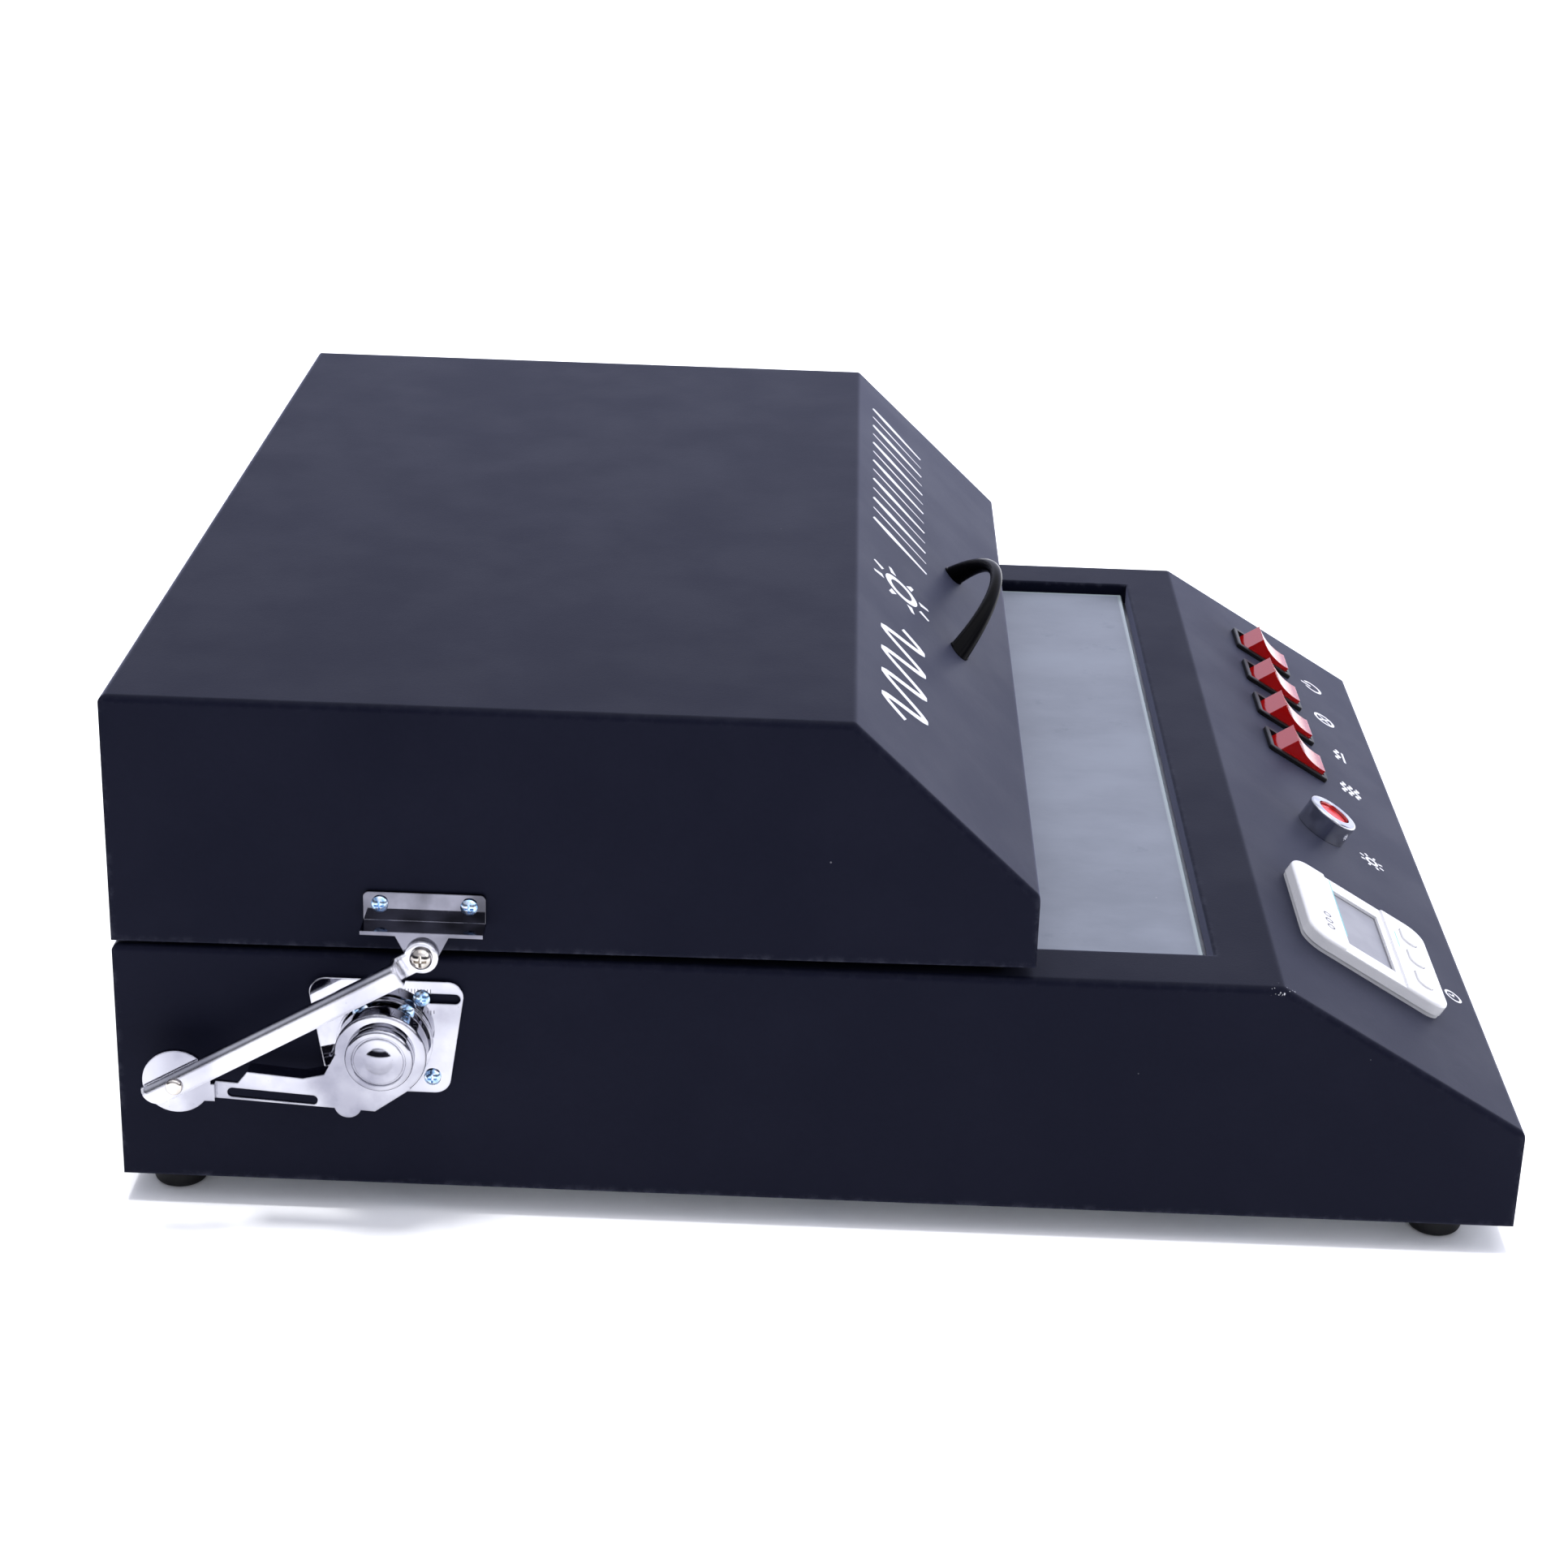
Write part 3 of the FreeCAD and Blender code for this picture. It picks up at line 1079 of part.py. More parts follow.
def stay_drum():
    """The friction drum: pot flange, barrel, spindle and domed cap."""
    flange = side_cylinder(STAY_DRUM, STAY_POT_RADIUS, STAY_SHEET, 2 * STAY_SHEET)
    base = 2 * STAY_SHEET
    barrel_top = ARM_INNER - RUNNING_GAP
    barrel = side_cylinder(STAY_DRUM, STAY_BARREL_RADIUS, base, barrel_top)
    cap_low = ARM_OUTER + RUNNING_GAP
    spindle = side_cylinder(STAY_DRUM, STAY_SPINDLE_RADIUS, barrel_top, cap_low)
    cap_top = cap_low + STAY_CAP_HEIGHT
    cap = side_cylinder(STAY_DRUM, STAY_CAP_RADIUS, cap_low, cap_top)
    rim = [e for e in cap.Edges if e.BoundBox.XMin > HALF_WIDTH + cap_top - 1e-3]
    cap = cap.makeFillet(STAY_CAP_ROUND, rim)
    groove_radius, groove_width, groove_depth = STAY_CAP_GROOVE
    groove = side_cylinder(STAY_DRUM, groove_radius, cap_top - groove_depth, cap_top + 1)
    groove = groove.cut(side_cylinder(STAY_DRUM, groove_radius - groove_width, cap_top - 1, cap_top + 2))
    ball_depth = math.sqrt(STAY_DOME_BALL ** 2 - STAY_DOME_RADIUS ** 2)
    ball = Part.makeSphere(STAY_DOME_BALL, side_point(STAY_DRUM, cap_top - ball_depth))
    dome = ball.common(side_cylinder(STAY_DRUM, STAY_DOME_RADIUS + 1, cap_top - 1, cap_top + 4))
    holes = [side_cylinder(p, SCREW_RADIUS, 0, 2 * base) for p in POT_SCREWS]
    notches = [side_cylinder(p, SCREW_HEAD_RADIUS + 0.2, base, barrel_top) for p in POT_SCREWS]
    return fused([flange, barrel, spindle, cap.cut(groove), dome]).cut(holes + notches)


def stay_lower_arm():
    """The arm on the drum: a ring, a slotted limb with a turned-in edge, and a round end."""
    drum = STAY_DRUM
    rivet = STAY_RIVET
    ring = side_cylinder(drum, STAY_RING_RADIUS, ARM_INNER, ARM_OUTER)
    outer_edges = [e for e in ring.Edges if e.BoundBox.XMin > HALF_WIDTH + ARM_OUTER - 1e-3]
    ring = ring.makeFillet(ARM_ROUND, outer_edges)
    upper = [offset(rivet, p) for p in ARM_TOP_EDGE]
    low_end = offset(rivet, ARM_LOW_END)
    limb = prism_x(
        side_outline(
            [offset(drum, ARM_HEEL), low_end] + upper
            + [(drum[0] - STAY_RING_RADIUS + 0.5, drum[1]), drum, offset(drum, ARM_THROAT)]
        ),
        side_levels(ARM_INNER, ARM_OUTER),
    )
    bump = side_cylinder(offset(drum, ARM_BUMP), ARM_BUMP[2], ARM_INNER, ARM_OUTER)
    disc_top = STAY_DISC_LEVEL + STAY_DISC_THICKNESS
    disc = side_cylinder(rivet, STAY_DISC_RADIUS, STAY_DISC_LEVEL, disc_top)
    start = rivet[0] + ARM_STEP_START
    step = prism_x(
        side_outline([
            (start, low_end[1]), (low_end[0] + 0.5, low_end[1]),
            (upper[0][0] + 0.5, upper[0][1]), (start, upper[0][1]),
        ]),
        side_levels(ARM_INNER, disc_top),
    )
    bore = side_cylinder(drum, STAY_SPINDLE_RADIUS + PIN_CLEARANCE, 0, 2 * ARM_OUTER)
    eye = side_cylinder(rivet, 3.0, STAY_DISC_LEVEL - 1, disc_top + 1)
    slot = arm_slot(offset(rivet, ARM_SLOT[0]), offset(rivet, ARM_SLOT[1]), ARM_SLOT_HALF)
    return fused([ring, limb, bump, disc, step, stay_rim()]).cut([bore, eye, slot])


def arm_slot(start, end, half):
    """A round-ended slot through the lower arm."""
    run = math.hypot(end[0] - start[0], end[1] - start[1])
    side = ((end[1] - start[1]) / run * half, (start[0] - end[0]) / run * half)
    corners = [
        (start[0] + side[0], start[1] + side[1]), (end[0] + side[0], end[1] + side[1]),
        (end[0] - side[0], end[1] - side[1]), (start[0] - side[0], start[1] - side[1]),
    ]
    middle = prism_x(side_outline(corners), side_levels(0, 2 * ARM_OUTER))
    ends = [side_cylinder(p, half, 0, 2 * ARM_OUTER) for p in (start, end)]
    return fused([middle] + ends)


def stay_rim():
    """The arm's turned-in edge, round the top of the ring and along the limb."""
    drum = STAY_DRUM
    tube_outer = side_cylinder(drum, STAY_RING_RADIUS, STAY_RIM_LEVEL, ARM_INNER + 0.2)
    tube_inner = side_cylinder(drum, STAY_RING_RADIUS - STAY_SHEET, 0, 2 * ARM_OUTER)
    above = prism_x(
        side_outline([
            (drum[0] - 30, drum[1] - 6), (drum[0] + 30, drum[1] + 2),
            (drum[0] + 30, drum[1] + 30), (drum[0] - 30, drum[1] + 30),
        ]),
        side_levels(0, 2 * ARM_OUTER),
    )
    collar = tube_outer.cut(tube_inner).common(above)
    outer = [offset(STAY_RIVET, p) for p in ARM_TOP_EDGE[2:]]
    inner = [(p[0], p[1] - STAY_SHEET) for p in outer]
    ring_edge = drum[0] - STAY_RING_RADIUS
    strip = prism_x(
        side_outline(outer + [(ring_edge + 0.6, drum[1]), (ring_edge + 2.2, drum[1])] + inner[::-1]),
        side_levels(STAY_RIM_LEVEL, ARM_INNER + 0.2),
    )
    return fused([collar, strip])


def stay_upper_arm():
    """The bar from the lid's pivot to the rivet: a bent channel with a flat, set-in eye."""
    half = STAY_BAR_HALF_WIDTH
    outer = STAY_BAR_OUTER
    end = BAR_LENGTH + STAY_BAR_OVERHANG
    bar = box((BAR_INNER, outer), (STAY_EYE_LENGTH, end), (-half, half))
    long_edges = [
        e for e in bar.Edges
        if e.BoundBox.YLength > 1 and e.BoundBox.XMin > outer - 1e-3 and e.BoundBox.ZMin > half - 1e-3
    ]
    bar = bar.makeFillet(STAY_BAR_BEND, long_edges)
    inside = box(
        (BAR_INNER - 1, outer - STAY_SHEET),
        (STAY_EYE_LENGTH + STAY_SHEET, end + 1),
        (-half - 1, half - STAY_SHEET),
    )
    inner_edges = [
        e for e in inside.Edges
        if e.BoundBox.YLength > 1 and e.BoundBox.XMin > outer - STAY_SHEET - 1e-3
        and e.BoundBox.ZMin > half - STAY_SHEET - 1e-3
    ]
    inside = inside.makeFillet(STAY_BAR_BEND - STAY_SHEET, inner_edges)
    end_edges = [
        e for e in bar.Edges
        if e.BoundBox.YMin > end - 1e-3 and e.BoundBox.XLength > 1 and e.BoundBox.ZMax < -half + 1e-3
    ]
    bar = bar.makeFillet(half * 1.5, end_edges)
    bar = bar.cut(inside)
    eye_level = (BRACKET_REACH + RUNNING_GAP, BRACKET_REACH + RUNNING_GAP + STAY_EYE_THICKNESS)
    eye = cylinder(STAY_EYE_RADIUS, Vector(eye_level[0], 0, 0), Vector(eye_level[1], 0, 0))
    neck = box(eye_level, (0, STAY_EYE_LENGTH + STAY_SHEET), (-half, half))
    riser_span = (STAY_EYE_LENGTH, STAY_EYE_LENGTH + STAY_SHEET)
    riser = box((eye_level[0], outer - STAY_BAR_BEND), riser_span, (-half, half))
    hole = cylinder(STAY_EYE_RADIUS / 2 + PIN_CLEARANCE, Vector(0, 0, 0), Vector(30, 0, 0))
    rivet_hole = cylinder(RIVET_RADIUS, Vector(0, BAR_LENGTH, 0), Vector(30, BAR_LENGTH, 0))
    shape = fused([bar, eye, neck, riser]).cut([hole, rivet_hole])
    return placed(shape, bar_placement())


def bar_placement():
    """Frame of the upper arm: origin at the lid's pivot, +Y towards the rivet."""
    return FreeCAD.Placement(side_point(STAY_PIVOT, 0), FreeCAD.Rotation(Vector(1, 0, 0), BAR_ANGLE))


def stay_rivet():
    """The rivet in the end of the upper arm, ending level with the arm's turned-in edge."""
    centre = Vector(0, BAR_LENGTH, 0)
    top = STAY_BAR_OUTER + RIVET_HEAD_HEIGHT
    shank = cylinder(RIVET_RADIUS, centre + X_OUT * BAR_INNER, centre + X_OUT * STAY_BAR_OUTER)
    head = cylinder(RIVET_HEAD_RADIUS, centre + X_OUT * STAY_BAR_OUTER, centre + X_OUT * top)
    head = head.makeFillet(RIVET_HEAD_HEIGHT * 0.7, [e for e in head.Edges if e.BoundBox.XMin > top - 1e-3])
    return placed(fused([shank, head]), bar_placement())


def stay_bracket():
    """The lid's bracket: flange on the lid, ledge outward, and a tab down to the pivot."""
    span = BRACKET_SPAN
    flange = prism_x(
        side_outline([
            (span[0], BRACKET_TOP), (span[1], BRACKET_TOP),
            (span[1], BRACKET_BOTTOM - STAY_SHEET), (span[0], BRACKET_BOTTOM - STAY_SHEET),
        ]),
        side_levels(0, STAY_SHEET),
    )
    top_corners = [
        e for e in flange.Edges
        if e.BoundBox.XLength > 1 and e.BoundBox.ZMin > DECK + BRACKET_TOP - 1e-3
    ]
    flange = flange.makeFillet(2.0, top_corners)
    ledge = prism_x(
        side_outline([
            (span[0], BRACKET_BOTTOM), (span[1], BRACKET_BOTTOM),
            (span[1], BRACKET_BOTTOM - STAY_SHEET), (span[0], BRACKET_BOTTOM - STAY_SHEET),
        ]),
        side_levels(0, BRACKET_REACH),
    )
    half = BRACKET_TAB_TOP / 2
    tab_level = side_levels(BRACKET_REACH - STAY_SHEET, BRACKET_REACH)
    pivot = STAY_PIVOT
    tab = prism_x(
        side_outline([
            (pivot[0] - half, BRACKET_BOTTOM), (pivot[0] + half, BRACKET_BOTTOM),
            (pivot[0] + BRACKET_TAB_RADIUS, pivot[1]), (pivot[0] - BRACKET_TAB_RADIUS, pivot[1]),
        ]),
        tab_level,
    )
    nose = side_cylinder(pivot, BRACKET_TAB_RADIUS, BRACKET_REACH - STAY_SHEET, BRACKET_REACH)
    holes = [side_cylinder(p, SCREW_RADIUS, -1, STAY_SHEET + 1) for p in BRACKET_SCREWS]
    holes.append(side_cylinder(pivot, STAY_EYE_RADIUS / 2, 0, 2 * BRACKET_REACH))
    return fused([flange, ledge, tab, nose]).cut(holes)


def stay_pivot_screw():
    """The shoulder screw that the upper arm turns on, with a cross recess in its head."""
    seat = BRACKET_REACH + 2 * RUNNING_GAP + STAY_EYE_THICKNESS
    length = seat - (BRACKET_REACH - STAY_SHEET)
    screw = pan_screw(STAY_EYE_RADIUS / 2, PIVOT_HEAD[0], PIVOT_HEAD[1], length)
    return set_screw(screw, side_point(STAY_PIVOT, seat), X_OUT)


# ---- fasteners ----------------------------------------------------------------------
SMALL_SCREW = pan_screw(SCREW_RADIUS, SCREW_HEAD_RADIUS, SCREW_HEAD_HEIGHT, SCREW_LENGTH)
SHORT_SCREW = pan_screw(SCREW_RADIUS, SCREW_HEAD_RADIUS, SCREW_HEAD_HEIGHT, SHORT_SCREW_LENGTH)


def both_sides(place, out):
    """A small screw in the side face, and its twin."""
    screw = set_screw(SMALL_SCREW, side_point(place, out), X_OUT)
    return [screw, mirrored(screw)]


def base_screws():
    solids = [set_screw(SMALL_SCREW, seat, BACK) for seat in BASE_HINGE_SCREWS + INLET_SCREWS]
    solids += [set_screw(SHORT_SCREW, seat, DOWN) for seat in PLATE_SCREWS]
    for place in (SLOT_SCREW, LOW_SCREW):
        solids += both_sides(place, STAY_SHEET)
    for place in POT_SCREWS:
        solids += both_sides(place, 2 * STAY_SHEET)
    return solids


def lid_screws():
    solids = [set_screw(SHORT_SCREW, seat, BACK) for seat in LID_HINGE_SCREWS]
    for place in BRACKET_SCREWS:
        solids += both_sides(place, STAY_SHEET)
    return solids


# ---- write every node ---------------------------------------------------------------
save("base_housing", base_housing())
save("bottom_plate", bottom_plate())
for corner, centre in FOOT_CENTRES.items():
    save("foot_" + corner, foot(centre))
save("foot_screws", foot_screws())
save("glass_ledge", glass_ledge())
save("glass_plate", glass_plate())
save("reflector_tray", reflector_tray())
for number, row in enumerate(TUBE_ROWS, start=1):
    save("main_uv_tube_" + str(number), tube(row))
save("pre_uv_tube", tube(PRE_TUBE_ROW))
save("work_lamp_tube", tube(WORK_LAMP_ROW))
save("lampholders", lampholders())
save("ballasts", ballasts())
save("power_inlet", power_inlet())
save("inlet_pins", inlet_pins())
for name, x in zip(SWITCH_NAMES, SWITCH_X):
    save(name + "_switch_body", switch_body(x))
    save(name + "_rocker", rocker(x))
save("indicator_bezel", indicator_bezel())
save("indicator_lens", indicator_lens())
save("indicator_nut", indicator_nut())
save("timer_case", timer_case())
save("timer_back", timer_back())
save("timer_display", timer_display())
for name, x in zip(("left", "middle", "right"), BUTTON_X):
    save("timer_button_" + name, timer_button(x))
save("lid_shell", lid_shell())
save("lid_reflector", lid_reflector())
save("lid_bumpers", lid_bumpers())
save("lid_handle", lid_handle())
save("handle_screws", handle_screws())
save("hinge_base_leaves", hinge_base_leaves())
save("hinge_lid_leaves", hinge_lid_leaves())
save("hinge_pins", hinge_pins())
save("base_screws", base_screws())
save("lid_screws", lid_screws())
STAY_PIECES = {
    "plate": stay_plate(),
    "drum": stay_drum(),
    "lower_arm": stay_lower_arm(),
    "upper_arm": stay_upper_arm(),
    "rivet": stay_rivet(),
    "bracket": stay_bracket(),
}
for name, shape in STAY_PIECES.items():
    save("stay_right_" + name, shape)
    save("stay_left_" + name, mirrored(shape))
PIVOT_SCREW = stay_pivot_screw()
save("stay_pivot_screws", [PIVOT_SCREW, mirrored(PIVOT_SCREW)])
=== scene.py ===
"""Looks of a desktop UV curing box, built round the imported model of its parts.

The metal box is powder coated, its lid rides on two chromed stays, and the sloped panel
carries four rocker switches, a pilot light and a timer. Metres, +Z up, +X to the
operator's right, the panel towards -Y.
"""
import logging
import math
from dataclasses import dataclass
from enum import Enum
from typing import Sequence, Union

import bmesh
import bpy
from mathutils import Matrix, Vector


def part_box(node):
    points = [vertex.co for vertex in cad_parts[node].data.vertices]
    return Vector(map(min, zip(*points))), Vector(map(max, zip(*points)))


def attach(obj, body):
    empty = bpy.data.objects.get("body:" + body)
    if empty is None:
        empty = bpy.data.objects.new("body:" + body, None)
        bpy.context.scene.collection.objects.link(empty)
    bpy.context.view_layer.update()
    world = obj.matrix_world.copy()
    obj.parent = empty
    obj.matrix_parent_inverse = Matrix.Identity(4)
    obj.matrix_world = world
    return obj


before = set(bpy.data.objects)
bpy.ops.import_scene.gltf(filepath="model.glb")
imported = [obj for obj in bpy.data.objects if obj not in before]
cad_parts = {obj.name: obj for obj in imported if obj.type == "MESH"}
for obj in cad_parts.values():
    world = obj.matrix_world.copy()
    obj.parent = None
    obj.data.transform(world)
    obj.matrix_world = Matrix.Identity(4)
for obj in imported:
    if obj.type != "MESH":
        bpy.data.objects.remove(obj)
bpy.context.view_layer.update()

LOG = logging.getLogger("curing_box")
MM = 0.001
Point = tuple[float, float]
Colour = tuple[float, float, float]
CORNERS = ((-1, -1), (1, -1), (1, 1), (-1, 1))


# ---- shader arithmetic --------------------------------------------------------------
class Value:
    """A number, colour or vector inside a material, which takes part in Python arithmetic."""

    def __init__(self, graph: "Graph", socket: bpy.types.NodeSocket) -> None:
        """Wrap an output socket of a graph's node."""
        self.graph = graph
        self.socket = socket

    def __add__(self, other: "Number") -> "Value":
        """Sum of two numbers."""
        return self.graph.math("ADD", self, other)

    __radd__ = __add__

    def __sub__(self, other: "Number") -> "Value":
        """This number less another."""
        return self.graph.math("SUBTRACT", self, other)

    def __rsub__(self, other: "Number") -> "Value":
        """Another number less this one."""
        return self.graph.math("SUBTRACT", other, self)

    def __mul__(self, other: "Number") -> "Value":
        """Product of two numbers."""
        return self.graph.math("MULTIPLY", self, other)

    __rmul__ = __mul__

    def __abs__(self) -> "Value":
        """Size of the number without its sign."""
        return self.graph.math("ABSOLUTE", self)

    def over(self, other: "Number") -> "Value":
        """The larger of two numbers."""
        return self.graph.math("MAXIMUM", self, other)

    def under(self, other: "Number") -> "Value":
        """The smaller of two numbers."""
        return self.graph.math("MINIMUM", self, other)

    def step(self, low: float, high: float) -> "Value":
        """Smooth rise from 0 to 1 between two levels (or a fall, with the levels swapped).

        Args:
            low: level at which the result is 0.
            high: level at which the result is 1.

        Returns:
            A mask between 0 and 1.
        """
        settings = {"interpolation_type": "SMOOTHSTEP", "clamp": True}
        links = {"Value": self, "From Min": low, "From Max": high}
        if low > high:
            links = {"Value": self, "From Min": high, "From Max": low, "To Min": 1.0, "To Max": 0.0}
        return self.graph.node("ShaderNodeMapRange", settings, links)


Number = Union[Value, float, int]


class Graph:
    """The node tree of one material or world, and short ways to add nodes to it."""

    def __init__(self, owner: Union[bpy.types.Material, bpy.types.World], shader: str,
                 output: str) -> None:
        """Empty the owner's tree, then join one shader to its output.

        Args:
            owner: the material or world.
            shader: type name of its shader node.
            output: type name of its output node.
        """
        owner.use_nodes = True
        self.owner = owner
        self.tree = owner.node_tree
        self.tree.nodes.clear()
        self.shader = self.tree.nodes.new(shader)
        end = self.tree.nodes.new(output)
        self.tree.links.new(self.shader.outputs[0], end.inputs["Surface"])

    @classmethod
    def material(cls, name: str) -> "Graph":
        """A new material with one Principled shader."""
        return cls(bpy.data.materials.new(name), "ShaderNodeBsdfPrincipled", "ShaderNodeOutputMaterial")

    @classmethod
    def world(cls, name: str) -> "Graph":
        """A new world, put in the scene.

        Args:
            name: its name.

        Returns:
            Its graph.
        """
        world = bpy.data.worlds.new(name)
        bpy.context.scene.world = world
        return cls(world, "ShaderNodeBackground", "ShaderNodeOutputWorld")

    def node(self, kind: str, settings: dict | None = None, links: dict | None = None,
             output: str | int = 0) -> Value:
        """Add any node: first its settings, then the values or links of its sockets.

        Args:
            kind: the node's type name.
            settings: attributes to set; the key "stops" fills a colour ramp.
            links: socket name or number to a value, number or colour.
            output: which output to return.

        Returns:
            The chosen output.
        """
        node = self.tree.nodes.new(kind)
        for key, value in (settings or {}).items():
            if key == "stops":
                self._fill_ramp(node.color_ramp, value)
            else:
                setattr(node, key, value)
        for key, value in (links or {}).items():
            self.feed(node.inputs[key], value)
        return Value(self, node.outputs[output])

    @staticmethod
    def _fill_ramp(ramp: bpy.types.ColorRamp, stops: Sequence[tuple[float, Colour]]) -> None:
        """Give a colour ramp its stops.

        Args:
            ramp: the ramp.
            stops: place from 0 to 1 and colour of each stop.
        """
        while len(ramp.elements) < len(stops):
            ramp.elements.new(1.0)
        for element, (place, colour) in zip(ramp.elements, stops):
            element.position = place
            element.color = (*colour, 1.0)

    def feed(self, socket: bpy.types.NodeSocket, value: object) -> None:
        """Link a value to a socket, or set the socket's own number or colour.

        Args:
            socket: the input socket.
            value: a Value to link, or what to set.
        """
        if isinstance(value, Value):
            self.tree.links.new(value.socket, socket)
        elif socket.type == "RGBA" and isinstance(value, (tuple, list)) and len(value) == 3:
            socket.default_value = (*value, 1.0)
        else:
            socket.default_value = value

    def math(self, operation: str, *values: Number) -> Value:
        """Add a Math node on numbers."""
        return self.node("ShaderNodeMath", {"operation": operation}, dict(enumerate(values)))

    def vector(self, operation: str, *values: object) -> Value:
        """Add a Vector Math node whose result is a vector."""
        return self.node("ShaderNodeVectorMath", {"operation": operation}, dict(enumerate(values)))

    def length(self, value: Value) -> Value:
        """Length of a vector."""
        return self.node("ShaderNodeVectorMath", {"operation": "LENGTH"}, {0: value}, "Value")

    def split(self, value: Value) -> tuple[Value, Value, Value]:
        """Take a vector apart.

        Args:
            value: the vector.

        Returns:
            Its three parts.
        """
        first = self.node("ShaderNodeSeparateXYZ", links={0: value})
        outputs = first.socket.node.outputs
        return first, Value(self, outputs[1]), Value(self, outputs[2])

    def mix(self, share: Number, first: object, second: object) -> Value:
        """Blend two colours.

        Args:
            share: 0 gives the first colour, 1 the second.
            first: a colour or a link.
            second: a colour or a link.

        Returns:
            The blended colour.
        """
        links = {0: share, 6: first, 7: second}
        return self.node("ShaderNodeMix", {"data_type": "RGBA"}, links, 2)

    def place(self) -> Value:
        """Position on the piece, in metres."""
        return self.node("ShaderNodeTexCoord", output="Object")

    def noise(self, size: float, detail: float = 2.0, rough: float = 0.5,
              stretch: Colour = (1.0, 1.0, 1.0)) -> Value:
        """Cloudy noise from about 0 to 1.

        Args:
            size: width of one cloud, in metres.
            detail: how many finer layers.
            rough: how strong the finer layers are.
            stretch: how many clouds per size along each axis.

        Returns:
            The noise.
        """
        place = self.vector("MULTIPLY", self.place(), stretch)
        links = {"Vector": place, "Scale": 1.0 / size, "Detail": detail, "Roughness": rough}
        return self.node("ShaderNodeTexNoise", None, links)

    def cells(self, size: float) -> Value:
        """Distance to the nearest of many scattered points, 0 at a point."""
        links = {"Vector": self.place(), "Scale": 1.0 / size, "Randomness": 1.0}
        return self.node("ShaderNodeTexVoronoi", None, links)

    def ramp(self, value: Value, *stops: tuple[float, Colour]) -> Value:
        """Colour from a number, by stops."""
        return self.node("ShaderNodeValToRGB", {"stops": stops}, {0: value})

    def edges(self, radius: float, low: float = 0.02, high: float = 0.25) -> Value:
        """Mask of the sharp outer and inner edges.

        Args:
            radius: how far from an edge it reaches, in metres.
            low: turn of the normal at which the mask is 0.
            high: turn of the normal at which the mask is 1.

        Returns:
            The mask.
        """
        bevel = self.node("ShaderNodeBevel", {"samples": 4}, {"Radius": radius})
        normal = self.node("ShaderNodeNewGeometry", output="Normal")
        settings = {"operation": "DOT_PRODUCT"}
        turn = self.node("ShaderNodeVectorMath", settings, {0: bevel, 1: normal}, "Value")
        return (1.0 - turn).step(low, high)

    def relief(self, height: Value, depth: float, strength: float = 1.0,
               rounding: float = 0.0) -> Value:
        """A normal from a height of 0 to 1.

        Args:
            height: the height field.
            depth: metres between height 0 and 1.
            strength: share of the effect.
            rounding: radius to which sharp edges look rounded, in metres.

        Returns:
            The bent normal.
        """
        links = {"Strength": strength, "Distance": depth, "Height": height}
        if rounding:
            links["Normal"] = self.node("ShaderNodeBevel", {"samples": 4}, {"Radius": rounding})
        return self.node("ShaderNodeBump", None, links)

    def finish(self, **sockets: object) -> Union[bpy.types.Material, bpy.types.World]:
        """Set or link the shader's sockets.

        Args:
            sockets: socket names, with underscores for spaces, and their values.

        Returns:
            The material or world.
        """
        for key, value in sockets.items():
            self.feed(self.shader.inputs[key.replace("_", " ")], value)
        return self.owner


# ---- finishes -----------------------------------------------------------------------
MIXED: dict["Finish", bpy.types.Material] = {}


@dataclass(frozen=True)
class Finish:
    """A finish that the box wears. Each kind says how its material is made."""

    name: str

    def make(self) -> bpy.types.Material:
        """Mix the material the first time that it is asked for.

        Returns:
            The material.
        """
        if self not in MIXED:
            MIXED[self] = self.mix(Graph.material(self.name + "_finish"))
        return MIXED[self]

    def mix(self, graph: Graph) -> bpy.types.Material:
        """Build the material in an empty graph."""
        raise NotImplementedError


